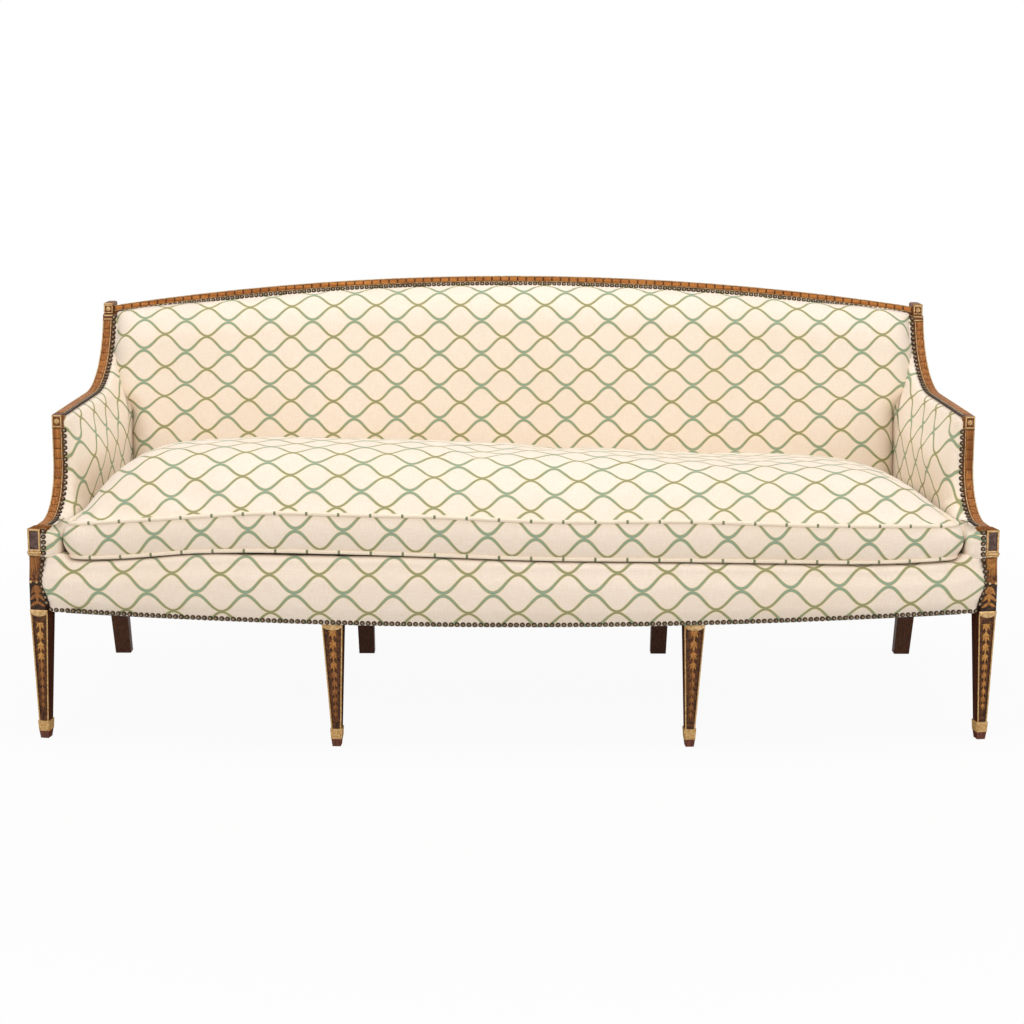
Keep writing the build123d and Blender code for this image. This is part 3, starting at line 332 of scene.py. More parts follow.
class Shader:
    """A material's node tree, with a short call for each kind of node it uses."""

    def __init__(self, name):
        self.material = bpy.data.materials.new(name)
        self.material.use_nodes = True
        self.tree = self.material.node_tree
        self.bsdf = self.tree.nodes["Principled BSDF"]

    def node(self, kind, **values):
        made = self.tree.nodes.new(kind)
        for key, value in values.items():
            setattr(made, key, value)
        return made

    def link(self, source, target):
        self.tree.links.new(source, target)

    def feed(self, socket, value):
        if isinstance(value, bpy.types.NodeSocket):
            self.link(value, socket)
        else:
            socket.default_value = value

    def math(self, operation, first, second=0.0, third=0.0):
        made = self.node("ShaderNodeMath", operation=operation)
        for socket, value in zip(made.inputs, (first, second, third)):
            self.feed(socket, value)
        return made.outputs[0]

    def ramp(self, value, low, high, to_low=0.0, to_high=1.0, kind="SMOOTHSTEP"):
        made = self.node("ShaderNodeMapRange", interpolation_type=kind)
        for name, entry in (
            ("Value", value), ("From Min", low), ("From Max", high), ("To Min", to_low), ("To Max", to_high),
        ):
            self.feed(made.inputs[name], entry)
        return made.outputs[0]

    def mix(self, share, first, second):
        made = self.node("ShaderNodeMix", data_type="RGBA")
        self.feed(made.inputs[0], share)
        self.feed(made.inputs[6], first)
        self.feed(made.inputs[7], second)
        return made.outputs[2]

    def split(self, source):
        made = self.node("ShaderNodeSeparateXYZ")
        self.link(source, made.inputs[0])
        return made.outputs

    def dot(self, first, second):
        made = self.node("ShaderNodeVectorMath", operation="DOT_PRODUCT")
        self.feed(made.inputs[0], first)
        self.feed(made.inputs[1], second)
        return made.outputs["Value"]

    def stretch(self, source, scale):
        made = self.node("ShaderNodeMapping")
        self.link(source, made.inputs["Vector"])
        made.inputs["Scale"].default_value = scale
        return made.outputs[0]

    def noise(self, source, scale, detail=3.0, rough=0.5):
        made = self.node("ShaderNodeTexNoise")
        self.link(source, made.inputs["Vector"])
        made.inputs["Scale"].default_value = scale
        made.inputs["Detail"].default_value = detail
        made.inputs["Roughness"].default_value = rough
        return made.outputs[0]

    def place(self):
        return self.node("ShaderNodeTexCoord").outputs["Object"]

    def cloth_place(self):
        return self.node("ShaderNodeUVMap", uv_map="cloth").outputs[0]

    def bump(self, height, strength, distance):
        made = self.node("ShaderNodeBump")
        made.inputs["Strength"].default_value = strength
        made.inputs["Distance"].default_value = distance
        self.link(height, made.inputs["Height"])
        self.link(made.outputs[0], self.bsdf.inputs["Normal"])

    def finish(self, colour, rough, metal=0.0, specular=0.5, sheen=0.0):
        for name, value in (
            ("Base Color", colour), ("Roughness", rough), ("Metallic", metal),
            ("Specular IOR Level", specular), ("Sheen Weight", sheen),
        ):
            self.feed(self.bsdf.inputs[name], value)
        return self.material


def weave(s, spot, thread):
    """Height of a plain weave of threads of a size in metres, with slubs."""
    x, y, _ = s.split(spot)
    turns = 2 * math.pi / thread
    warp = s.math("SINE", s.math("MULTIPLY", x, turns))
    weft = s.math("SINE", s.math("MULTIPLY", y, turns))
    crossed = s.math("MULTIPLY", warp, weft)
    slub_weft = s.noise(s.stretch(spot, (40.0, 1100.0, 1.0)), 1.0, 2.0)
    slub_warp = s.noise(s.stretch(spot, (1100.0, 40.0, 1.0)), 1.0, 2.0)
    slubs = s.math("ADD", slub_weft, slub_warp)
    return s.math("MULTIPLY_ADD", crossed, 0.35, slubs), slubs


def trellis_cloth():
    """Cream linen with an ogee trellis of green and olive lines."""
    s = Shader("trellis_cloth")
    spot = s.cloth_place()
    x, y, _ = s.split(spot)
    drift = s.math("SUBTRACT", s.noise(spot, 9.0, 1.0), 0.5)
    across = s.math("MULTIPLY_ADD", drift, 0.05, s.math("DIVIDE", x, REPEAT_WIDE * MM))
    along = s.math("DIVIDE", y, REPEAT_HIGH * MM)
    turn = s.math("MULTIPLY", across, 2 * math.pi)
    wave = s.math("MULTIPLY_ADD", s.math("COSINE", turn), -0.5, 0.5)
    line = s.math("MULTIPLY_ADD", wave, WAVE_SHARE, 0.037)
    fold = s.math("PINGPONG", along, 0.5)
    away = s.math("ABSOLUTE", s.math("SUBTRACT", fold, line))
    rise = s.math("MULTIPLY", s.math("SINE", turn), WAVE_SHARE * math.pi / REPEAT_WIDE)
    slope = s.math("SQRT", s.math("MULTIPLY_ADD", rise, rise, REPEAT_HIGH**-2))
    distance = s.math("DIVIDE", away, slope)
    half = s.math("MULTIPLY_ADD", wave, -0.8, 2.95)
    band = s.ramp(s.math("SUBTRACT", distance, half), -0.4, 0.4, 1.0, 0.0)
    rim = s.ramp(s.math("SUBTRACT", distance, half), 0.5, 2.1, 1.0, 0.0)
    core = s.ramp(distance, 0.4, 2.0, 1.0, 0.0)
    height, slubs = weave(s, spot, LINEN_THREAD)
    cloud = s.noise(spot, 3.0, 4.0)
    ground = s.mix(s.ramp(slubs, 0.7, 1.3), linear(241, 224, 206), linear(250, 238, 225))
    ground = s.mix(s.ramp(cloud, 0.35, 0.75, 0.0, 0.35), ground, linear(236, 218, 196))
    edged = s.mix(s.math("MULTIPLY", rim, 0.8), ground, linear(220, 204, 146))
    thread = s.mix(wave, linear(144, 162, 134), linear(156, 148, 98))
    bright = s.math("MULTIPLY", core, s.ramp(wave, 0.1, 0.8, 0.75, 0.25))
    thread = s.mix(bright, thread, linear(152, 178, 162))
    fleck = s.noise(s.stretch(spot, (900.0, 900.0, 1.0)), 1.0, 1.0)
    thread = s.mix(s.ramp(fleck, 0.45, 0.7, 0.0, 0.35), thread, linear(120, 132, 96))
    colour = s.mix(band, edged, thread)
    relief = s.math("MULTIPLY_ADD", band, 0.5, height)
    s.bump(relief, 0.25, 0.0006)
    return s.finish(colour, s.ramp(slubs, 0.6, 1.4, 0.92, 0.8), specular=0.25, sheen=0.12)


def welt_cloth():
    """The same cloth rolled round a cord, where a line crosses it as a short tick."""
    s = Shader("welt_cloth")
    spot = s.cloth_place()
    x, y, _ = s.split(spot)
    share = s.math("DIVIDE", x, TICK_PITCH * MM)
    tick = s.ramp(s.math("MULTIPLY", s.math("PINGPONG", share, 0.5), TICK_PITCH), 2.1, 3.0, 1.0, 0.0)
    side = s.ramp(s.math("ABSOLUTE", y), 0.0042, 0.0060, 1.0, 0.0)
    height, slubs = weave(s, spot, LINEN_THREAD)
    ground = s.mix(s.ramp(slubs, 0.7, 1.3), linear(238, 221, 198), linear(250, 238, 220))
    colour = s.mix(s.math("MULTIPLY", tick, side), ground, linear(124, 132, 98))
    s.bump(height, 0.25, 0.0006)
    return s.finish(colour, 0.86, specular=0.25, sheen=0.12)


def plain_cloth(name, dark, light, thread, strength=0.3):
    """Woven cloth of one colour with slubs and faint clouding."""
    s = Shader(name)
    spot = s.cloth_place()
    height, slubs = weave(s, spot, thread)
    cloud = s.noise(spot, 6.0, 4.0)
    colour = s.mix(s.ramp(slubs, 0.65, 1.35), dark, light)
    colour = s.mix(s.ramp(cloud, 0.4, 0.8, 0.0, 0.3), colour, dark)
    s.bump(height, strength, thread * 0.5)
    return s.finish(colour, 0.9, specular=0.2)


def edge_mask(s, radius):
    """1 at the arrises of a solid and 0 on its faces."""
    made = s.node("ShaderNodeBevel", samples=6)
    made.inputs["Radius"].default_value = radius
    normal = s.node("ShaderNodeNewGeometry").outputs["Normal"]
    return s.ramp(s.dot(made.outputs[0], normal), 0.82, 0.985, 1.0, 0.0)


def grained_wood(name, dark, light, along, gloss, edge=None, edge_radius=0.0014, worn=0.4, foot=None):
    """Wood with grain along an axis, arrises of another colour and a foot of another wood."""
    s = Shader(name)
    spot = s.place()
    fine = [260.0, 260.0, 260.0]
    fine[along] = 9.0
    grain = s.noise(s.stretch(spot, fine), 1.0, 5.0, 0.6)
    finer = [900.0, 900.0, 900.0]
    finer[along] = 40.0
    pore = s.noise(s.stretch(spot, finer), 1.0, 2.0)
    cloud = s.noise(spot, 14.0, 3.0)
    colour = s.mix(s.ramp(grain, 0.32, 0.7), dark, light)
    colour = s.mix(s.ramp(pore, 0.55, 0.75, 0.0, 0.6), colour, dark)
    colour = s.mix(s.ramp(cloud, 0.35, 0.75, 0.0, 0.45), colour, dark)
    if edge is not None:
        rub = s.noise(spot, 120.0, 3.0)
        mask = s.math("MULTIPLY", edge_mask(s, edge_radius), s.ramp(rub, worn - 0.15, worn + 0.2))
        colour = s.mix(mask, colour, edge)
    if foot is not None:
        height, foot_dark, foot_light = foot
        below = s.ramp(s.split(spot)[2], height - 0.004, height + 0.004, 1.0, 0.0)
        colour = s.mix(below, colour, s.mix(s.ramp(grain, 0.32, 0.7), foot_dark, foot_light))
    s.bump(s.math("ADD", grain, pore), 0.22, 0.0006)
    return s.finish(colour, s.ramp(grain, 0.3, 0.8, gloss + 0.12, gloss - 0.08), specular=0.15)


def gilding(name, rubbed, dark, light):
    """Old gilding, paler on the high places and brown in the hollows."""
    s = Shader(name)
    spot = s.place()
    rub = s.noise(spot, 160.0, 4.0, 0.6)
    fleck = s.noise(spot, 620.0, 2.0)
    colour = s.mix(s.ramp(rub, 0.3, 0.7), dark, light)
    colour = s.mix(s.ramp(fleck, 0.56, 0.72, 0.0, rubbed), colour, linear(104, 62, 30))
    s.bump(rub, 0.25, 0.0008)
    return s.finish(colour, s.ramp(rub, 0.3, 0.8, 0.55, 0.36), 0.25)


def bronze():
    """Dark antiqued bronze of the nails, with a painted highlight that lightens the crown of each."""
    s = Shader("antique_bronze")
    spot = s.place()
    patina = s.noise(spot, 240.0, 3.0)
    speck = s.noise(spot, 1500.0, 2.0)
    # Painted highlight: the crown of each nail is mixed from the dark bronze towards a light bronze, while
    # the rim keeps the dark colour.
    crown = s.ramp(s.split(s.cloth_place())[0], 0.25 * MM, 0.95 * MM)
    light = s.mix(s.ramp(patina, 0.35, 0.7), linear(128, 104, 76), linear(176, 152, 118))
    colour = s.mix(crown, linear(46, 34, 25), light)
    colour = s.mix(s.ramp(speck, 0.55, 0.7, 0.0, 0.5), colour, linear(52, 40, 30))
    s.bump(speck, 0.15, 0.0004)
    return s.finish(colour, s.ramp(patina, 0.3, 0.7, 0.42, 0.3), 0.6)


def steel(name, dark, light):
    """Plain wire or screw steel with fine streaks."""
    s = Shader(name)
    spot = s.place()
    streak = s.noise(s.stretch(spot, (300.0, 300.0, 2000.0)), 1.0, 3.0)
    colour = s.mix(s.ramp(streak, 0.3, 0.7), dark, light)
    s.bump(streak, 0.1, 0.0002)
    return s.finish(colour, s.ramp(streak, 0.3, 0.7, 0.45, 0.3), 0.9)


cloth = trellis_cloth()
piping = welt_cloth()
platform = plain_cloth("platform_cloth", linear(214, 196, 168), linear(234, 220, 196), 0.0012)
cambric = plain_cloth("black_cloth", linear(22, 21, 22), linear(46, 44, 45), 0.0010)
hessian = plain_cloth("hessian", linear(150, 120, 80), linear(190, 160, 116), 0.0026, 0.6)
jute = plain_cloth("jute", linear(168, 136, 92), linear(205, 176, 130), 0.0022, 0.6)
PAINTED = {
    "dark": linear(84, 49, 27), "light": linear(142, 90, 48), "gloss": 0.42, "edge": linear(212, 176, 118),
    "edge_radius": 0.0018, "worn": 0.36,
}
POST_FOOT = (0.31, linear(48, 26, 18), linear(82, 46, 30))
showwood = grained_wood("painted_showwood", along=2, **PAINTED)
showwood_arm = grained_wood("painted_showwood_arm", along=1, **PAINTED)
showwood_post = grained_wood("painted_showwood_post", along=2, foot=POST_FOOT, **PAINTED)
showwood_crest = grained_wood(
    "painted_showwood_crest", linear(74, 43, 24), linear(124, 76, 40), 0, 0.42,
    linear(196, 150, 92), 0.0014, 0.42,
)
carved = grained_wood(
    "carved_wood", linear(126, 74, 36), linear(196, 130, 68), 2, 0.42, linear(214, 170, 104), 0.0011, 0.46
)
carved_leg = grained_wood(
    "carved_wood_leg", linear(122, 76, 42), linear(182, 124, 74), 2, 0.5, linear(200, 150, 92), 0.0009, 0.4
)
carved_crest = grained_wood(
    "carved_wood_crest", linear(150, 88, 40), linear(208, 138, 70), 0, 0.42,
    linear(220, 174, 108), 0.0009, 0.5,
)
mahogany = grained_wood("dark_mahogany", linear(62, 36, 23), linear(96, 58, 36), 2, 0.5)
beech = grained_wood("beech", linear(170, 128, 84), linear(214, 176, 128), 0, 0.6)
gilt = gilding("gilding", 0.55, linear(182, 138, 82), linear(226, 194, 142))
gilt_husk = gilding("gilding_husk", 0.6, linear(164, 108, 46), linear(212, 160, 84))
gilt_old = gilding("gilding_old", 0.7, linear(142, 88, 38), linear(196, 136, 64))
bronze_metal = bronze()
wire = steel("spring_steel", linear(96, 98, 102), linear(150, 152, 156))
screw_metal = steel("screw_steel", linear(120, 116, 110), linear(170, 166, 158))


def leg_paint(name, origin, turn, side, corner):
    """Painted and gilded leg: sunk brown panel, gold borders, foot and bands, dark sides."""
    s = Shader(name)
    spot = s.place()
    local = s.node("ShaderNodeMapping", vector_type="TEXTURE")
    s.link(spot, local.inputs["Vector"])
    local.inputs["Location"].default_value = to_row([(side * origin[0], origin[1], 0.0)])[0]
    local.inputs["Rotation"].default_value = (0.0, 0.0, side * turn)
    x, deep, high = s.split(local.outputs[0])
    across = s.math("MULTIPLY", x, side)
    normal = s.node("ShaderNodeNewGeometry").outputs["Normal"]
    front = s.ramp(s.dot(normal, (side * math.sin(turn), -math.cos(turn), 0.0)), 0.55, 0.75)
    grain = s.noise(s.stretch(spot, (300.0, 300.0, 12.0)), 1.0, 5.0, 0.6)
    mottle = s.noise(spot, 130.0, 4.0, 0.6)
    rub = s.noise(spot, 300.0, 3.0)
    brown = s.mix(s.ramp(mottle, 0.36, 0.66), linear(52, 32, 21), linear(108, 66, 36))
    brown = s.mix(s.ramp(grain, 0.5, 0.72, 0.0, 0.6), brown, linear(78, 47, 28))
    dark = s.mix(s.ramp(grain, 0.3, 0.7), linear(56, 32, 23), linear(92, 54, 38))
    gold = s.mix(s.ramp(rub, 0.32, 0.7), linear(178, 132, 74), linear(222, 188, 132))
    gold = s.mix(s.ramp(mottle, 0.6, 0.75, 0.0, 0.7), gold, linear(120, 74, 38))
    black = s.mix(s.ramp(mottle, 0.35, 0.7), linear(40, 28, 22), linear(78, 56, 42))
    grey = s.mix(s.ramp(mottle, 0.35, 0.65), linear(78, 60, 56), linear(112, 90, 84))
    if corner:
        half = s.ramp(high, 0.038, 0.263, 0.0105, 0.0185, "LINEAR")
    else:
        half = s.ramp(high, 0.038, 0.262, 0.0105, 0.022, "LINEAR")
        across = s.math("SUBTRACT", across, s.ramp(high, 0.038, 0.262, 0.0, 0.0055, "LINEAR"))
    inside = s.math("SUBTRACT", half, s.math("ABSOLUTE", across))
    border = s.ramp(inside, 0.0022, 0.0032, 1.0, 0.0)
    face = s.mix(border, brown, gold)

    def band(low, top, soft):
        """1 between two heights."""
        below = s.ramp(high, top - soft, top + soft, 1.0, 0.0)
        return s.math("MULTIPLY", s.ramp(high, low - soft, low + soft), below)

    if corner:
        neck = s.mix(s.ramp(mottle, 0.4, 0.6), linear(74, 44, 26), linear(150, 98, 54))
        for low, top, shade in ((0.275, 0.334, black), (0.334, 0.389, neck), (0.389, 0.448, gold)):
            face = s.mix(band(low, top, 0.0004), face, shade)
        sunk = s.ramp(deep, 0.0012, 0.0016)
        face = s.mix(s.math("MULTIPLY", band(0.401, 0.444, 0.0004), sunk), face, grey)
        worn = s.mix(s.ramp(grain, 0.3, 0.7), linear(92, 56, 32), linear(152, 100, 58))
        dark = s.mix(s.ramp(high, 0.33, 0.336), dark, worn)
    colour = s.mix(front, dark, face)
    foot = s.math("MULTIPLY", s.ramp(high, 0.0155, 0.0165), s.ramp(high, 0.0378, 0.0384, 1.0, 0.0))
    colour = s.mix(foot, colour, gold)
    tip = s.ramp(high, 0.0155, 0.0165, 1.0, 0.0)
    colour = s.mix(tip, colour, s.mix(s.ramp(grain, 0.3, 0.7), linear(84, 46, 36), linear(122, 74, 58)))
    s.bump(s.math("ADD", mottle, grain), 0.3, 0.0012)
    return s.finish(colour, s.ramp(mottle, 0.3, 0.7, 0.62, 0.5), specular=s.math("MULTIPLY", front, 0.2))


LEGS = {}
for side, word in SIDES:
    LEGS[f"front_leg_{word}"] = ((LEG_X, 0.0), CORNER_TURN, side, True)
    middle_turn = math.asin(MIDDLE_LEG_X / BOW_RADIUS)
    LEGS[f"front_middle_leg_{word}"] = ((MIDDLE_LEG_X, MIDDLE_LEG_FRONT), middle_turn, side, False)

WOOD_FOR = {
    "arm_stump": showwood, "arm_rail": showwood_arm, "back_post": showwood_post, "crest_rail": showwood_crest,
    "rear_inner_leg": mahogany, "seat_springs": wire, "corner_block_screws": screw_metal,
}
for name, node in nodes.items():
    chosen = beech
    for start, material in WOOD_FOR.items():
        if name.startswith(start):
            chosen = material
    if name in LEGS:
        chosen = leg_paint("paint_" + name, *LEGS[name])
    node.data.materials.clear()
    node.data.materials.append(chosen)


# Front border, padded over the bowed rail
def front_border():
    """From under the rail up over its shoulder and back to the deck."""
    columns = 260
    end = CORNER_TURN - (LEG_TOP_WIDE / 2 + 0.4) / BOW_RADIUS
    turns = np.linspace(-end, end, columns)
    x = BOW_RADIUS * np.sin(turns)
    top = np.clip(keyed(LOW_SEAM, x) - 8, BORDER_TOP - 12, BORDER_TOP + 14)
    at_end = smooth(905, 930, np.abs(x))
    top = top * (1 - at_end) + (BORDER_TOP + 7) * at_end
    shoulder = top - BORDER_SHOULDER
    lift = np.concatenate([[0.0, 0.015, 0.04, 0.07, 0.1, 0.14, 0.19], np.linspace(0.25, 1.0, 16)])
    rows = []
    from_end = (end - np.abs(turns)) * BOW_RADIUS
    tuck = 3.0 * (1 - smooth(20, 60, from_end)) - 9.0 * (1 - smooth(0, 7, from_end))
    low = sag_z(x)
    pucker = 0.5 * np.cos(2 * np.pi * turns * BOW_RADIUS / NAIL_PITCH)
    rows.append((low - 0.6, np.full(columns, -12.0)))
    rows.append((low - 0.9, np.full(columns, -2.0)))
    for share in lift:
        bulge = BORDER_CROWN * 4 * share * (1 - share) + 4.5 * float(smooth(0.07, 0.3, share))
        bulge -= 4.5 * float(smooth(0.7, 1.0, share))
        near = math.exp(-((share - 0.09) / 0.05) ** 2)
        rows.append((low + share * (shoulder - low), bulge + tuck + pucker * near))
    for angle in np.linspace(12, 90, 7):
        bend = math.radians(angle)
        rows.append((shoulder + BORDER_SHOULDER * math.sin(bend), tuck - 13 * (1 - math.cos(bend))))
    for back in (22.0, 32.0, 44.0, EDGE_ROLL):
        settle = float(smooth(22, EDGE_ROLL, back))
        rows.append((top * (1 - settle) + BORDER_TOP * settle, np.full(columns, -back)))
    rows.append((np.full(columns, BORDER_TOP - 9.0), np.full(columns, -EDGE_ROLL)))
    points = []
    for z, off in rows:
        reach = BOW_RADIUS + off
        by_neck = NECK_COVER * smooth(300, 340, z) * (1 - smooth(350, 392, z))
        cover = STRIP_COVER * smooth(290, 330, z) + by_neck
        wider = 1 + cover * (np.abs(turns) / end) ** 6 / (end * BOW_RADIUS)
        points.append(np.stack([
            reach * np.sin(turns * wider), BOW_CENTRE - reach * np.cos(turns * wider), z,
        ], axis=-1))
    points = np.array(points)
    run = run_lengths(points)
    across = np.broadcast_to(turns * BOW_RADIUS, run.shape)
    run = run + (low - sag_z(0.0))[None, :] - 0.0105 * across
    uv = on_cloth(across, run, BORDER_START, BORDER_REPEAT)
    return add_piece(
        "front_border", points, grid_faces(len(rows), columns), cloth, uv,
        replaced=("front_border_cover", "front_border_pad"),
    )


# Inside back, crowned under the crest rail and drawn in at its ends
def inside_back():
    """From the crest rail over a rounded top and down behind the cushion."""
    columns = 190
    middle_row = 22
    top = CREST_S - BACK_PAD_TOP + COVER_THICK
    shoulder = top - BACK_ROLL
    share = np.linspace(-1, 1, columns)
    share = np.sin(share * math.pi / 2 * 0.9) / math.sin(math.pi / 2 * 0.9)
    profile = [
        (CREST_FORWARD - 6.0, top + 9.5), (CREST_FORWARD + 0.7, top + 9.5), (CREST_FORWARD + 1.1, top + 3.5),
        (CREST_FORWARD + 3.0, top + 2.0),
    ]
    for angle in np.linspace(15, 90, 13):
        bend = math.radians(angle)
        forward = CREST_FORWARD + 3 + (BACK_PAD + 2 - CREST_FORWARD - 3) * math.sin(bend) ** 0.9
        profile.append((forward, top + 2 - BACK_ROLL * (1 - math.cos(bend)) ** 0.8))
    for step in np.linspace(0.05, 1, 30):
        bow = 1 - (2 * step - 1) ** 2
        profile.append((BACK_PAD + 2 + 7 * bow - 14 * step**2, shoulder + 2 + step * (395 - shoulder)))
    points = []
    for level, (forward, up) in enumerate(profile):
        height = up * math.cos(LEAN)
        half = 892 + 44 * float(smooth(635, 735, height)) - 8 * float(smooth(805, 835, height))
        x = half * share
        from_end = half - np.abs(x)
        round_off = np.sqrt(np.clip(1 - (1 - np.clip(from_end / 62, 0, 1)) ** 2.3, 0, 1))
        base = CREST_FORWARD - 8.0
        reach = base + (forward - base) * round_off
        radius = ARCH_RADIUS + up - CREST_S
        drop = radius - np.sqrt(radius**2 - x**2)
        drop = drop * float(smooth(400, 760, height))
        rise = 1.6 if level < 3 else 8.0 * float(smooth(top - 120, top, up))
        lift = rise * smooth(640, 880, np.abs(x))
        points.append(back_points(x, up - drop + lift, reach))
    points = np.array(points)
    ripple = np.array([
        [noise.noise(Vector((p[0] * 0.006, p[2] * 0.009, 3.1))) for p in row_points] for row_points in points
    ])
    points[..., 1] -= 1.6 * ripple
    run = run_lengths(points) - TURNED_UP
    along = run_lengths(points, 1)
    along -= along[:, columns // 2][:, None]
    run -= points[middle_row, :, 2] - points[middle_row, columns // 2, 2]
    uv = on_cloth(along, -run, BACK_START, BACK_REPEAT)
    return add_piece(
        "inside_back", points, grid_faces(len(profile), columns), cloth, uv,
        replaced=("inside_back_cover", "inside_back_pad"),
    )


def arm_outline():
    """Outline of the inside of the arm, with the length of it that is nailed to the show-wood."""
    low = BORDER_TOP + 3
    points = [(4.0, BORDER_TOP), (4.0, 402.0), (4.0, 418.0), (4.0, 432.0), (9.0, BLOCK_TOP - 3)]
    points += [(u, BLOCK_TOP - 2) for u in (22.0, 40.0, 58.0)]
    points += arc((STUMP_U, STUMP_Z), STUMP_RADIUS + 1, -90, 0, 26)
    for z in np.linspace(564, arm_top(STUMP_FRONT) - 10, 11):
        points.append((STUMP_FRONT + 1.0, z))
    corner = arm_top(STUMP_FRONT + 8) - 2
    points.append((STUMP_FRONT + 3.5, corner - 4.0))
    points.append((STUMP_FRONT + 8.0, corner))
    for u in np.linspace(208, SWEEP_FOOT, 28):
        points.append((u, arm_top(u) - 2))
    points += arc((SWEEP_U, SWEEP_Z), SWEEP_RADIUS + 2, -86, -12, 28)
    nailed = len(points)
    for z in np.linspace(points[-1][1] - 12, low, 40):
        points.append((back_y(z) - 10.0, z))
    for u in np.linspace(back_y(low) - 24, 18, 60):
        points.append((u, BORDER_TOP if u < 90 else low))
    return np.array(points), nailed


def inside_arm(side, word):
    """Padded inside of an arm, rolled towards the nails and drawn in towards its foot."""
    outline, nailed = arm_outline()
    centre = np.array(ARM_HUB)
    rings = 1 - np.concatenate([np.linspace(0, 0.16, 14), np.linspace(0.19, 0.97, 27)])
    spots = centre + (outline - centre)[None, :, :] * rings[:, None, None]
    flat = spots.reshape(-1, 2)
    start = outline[: nailed - 1]
    step = outline[1:nailed] - start
    length2 = np.maximum((step**2).sum(axis=1), 1e-9)
    nearest = np.full(len(flat), 1e9)
    for index in range(len(start)):
        share = np.clip(((flat - start[index]) @ step[index]) / length2[index], 0, 1)
        gap = flat - start[index] - share[:, None] * step[index]
        nearest = np.minimum(nearest, np.sqrt((gap**2).sum(axis=1)))
    u = flat[:, 0]
    z = flat[:, 1]
    ceiling = np.where(u < SWEEP_FOOT, arm_top(u), 0.0)
    swing = np.clip(SWEEP_RADIUS**2 - (u - SWEEP_U) ** 2, 0, None)
    ceiling = np.where(u >= SWEEP_FOOT, SWEEP_Z - np.sqrt(swing), ceiling)
    below = np.clip(ceiling - z, 0, None)
    deep = 27 + 19 * smooth(60, 560, u)
    deep = deep + ARM_PUFF * smooth(470, 560, z) * (1 - smooth(60, 560, u))
    slope = 0.36 + 0.64 * smooth(0, 110, below)
    slope = np.where(u < STUMP_FRONT, np.maximum(slope, 1 - smooth(520, 560, z)), slope)
    under = np.clip(STUMP_RADIUS**2 - (z - STUMP_Z) ** 2, 0, None)
    front_u = np.where(z < STUMP_Z, STUMP_U + np.sqrt(under), STUMP_FRONT)
    behind = u - front_u
    reach = 26 + 42 * (1 - smooth(50, 170, behind)) * smooth(450, 530, z)
    roll = np.sqrt(np.clip(1 - (1 - np.clip(nearest / reach, 0, 1)) ** 2.2, 0, 1))
    roll = roll * np.maximum(0.7 + 0.3 * smooth(0, 120, behind), 1 - smooth(450, 530, z))
    block_edge = 8.5 * (1 - smooth(440, 456, z)) * (1 - smooth(10, 60, u))
    edge = MEMBER_WIDE - 2.0 + 2.9 * smooth(0, 4, nearest)
    inward = edge - block_edge * (1 - roll) + deep * slope * roll
    lump = np.array([noise.noise(Vector((a * 0.012, b * 0.012, 7.7 * side))) for a, b in flat])
    inward = inward + 1.6 * lump * roll
    points = arm_points(u, z, inward, side)
    points[:, 1] -= 5.0 * np.exp(-((nearest - 13) / 12) ** 2) * (u < STUMP_FRONT + 60)
    hub = arm_points(centre[:1], centre[1:], np.array([MEMBER_WIDE + 0.9 + HUB_DEEP]), side)
    points = np.concatenate([points, hub])
    faces = mirrored(dome_faces(len(rings), len(outline)), -side)
    spread = np.concatenate([flat, [centre]])
    bulk = np.concatenate([deep * slope * roll, [HUB_DEEP]])
    uv = on_cloth(side * (spread[:, 0] + 0.3 * bulk), spread[:, 1] - 0.1 * bulk, ARM_START[side], ARM_REPEAT)
    return add_piece(
        f"inside_arm_{word}", points, faces, cloth, uv,
        replaced=(f"inside_arm_cover_{word}", f"inside_arm_pad_{word}"),
    )


def cushion_front(x):
    """Front edge of the plan of the cushion with its rounded corners."""
    over = np.clip(np.abs(x) - (CUSHION_HALF - CORNER_ROUND), 0, CORNER_ROUND)
    return bow_y(np.clip(np.abs(x), 0, CUSHION_HALF), CUSHION_FRONT_GAP) + CORNER_ROUND - np.sqrt(
        np.clip(CORNER_ROUND**2 - over**2, 0, None)
    )


def cushion_rear(x, half):
    """Rear edge of the plan of the cushion with its rounded corners."""
    over = np.clip(np.abs(x) - (half - CORNER_ROUND), 0, CORNER_ROUND)
    return CUSHION_REAR - CORNER_ROUND + np.sqrt(np.clip(CORNER_ROUND**2 - over**2, 0, None))


CUSHION_COLUMNS = 150
CUSHION_ROWS = 56
ends = np.linspace(-1, 1, CUSHION_COLUMNS)
cushion_share = np.sin(ends * math.pi / 2 * 0.93) / math.sin(math.pi / 2 * 0.93)
steps = np.linspace(0, 1, CUSHION_ROWS)
cushion_back = 0.55 * steps + 0.45 * (0.5 - 0.5 * np.cos(math.pi * steps))


def cushion_plan():
    """Grid of widths and depths over the plan of the cushion."""
    x = np.empty((CUSHION_ROWS, CUSHION_COLUMNS))
    d = np.empty((CUSHION_ROWS, CUSHION_COLUMNS))
    for r, share in enumerate(cushion_back):
        half = CUSHION_HALF + (CUSHION_HALF_BACK - CUSHION_HALF) * share
        half -= 5.0 * math.sin(math.pi * share)
        x[r] = cushion_share * half
    for c in range(CUSHION_COLUMNS):
        first = float(cushion_front(cushion_share[c] * CUSHION_HALF))
        last = float(cushion_rear(cushion_share[c] * CUSHION_HALF_BACK, CUSHION_HALF_BACK))
        d[:, c] = first + (last - first) * cushion_back
    return x, d


def seam_heights(x, d, low):
    """Height of a seam round the cushion, keyed at the front and level at the rear."""
    front = keyed(LOW_SEAM if low else TOP_SEAM, x)
    behind = 398.0 if low else 470.0
    behind = behind - (4.0 if low else 12.0) * (np.abs(x) / CUSHION_HALF) ** 4
    share = smooth(-70, 260, d)
    return front * (1 - share) + behind * share


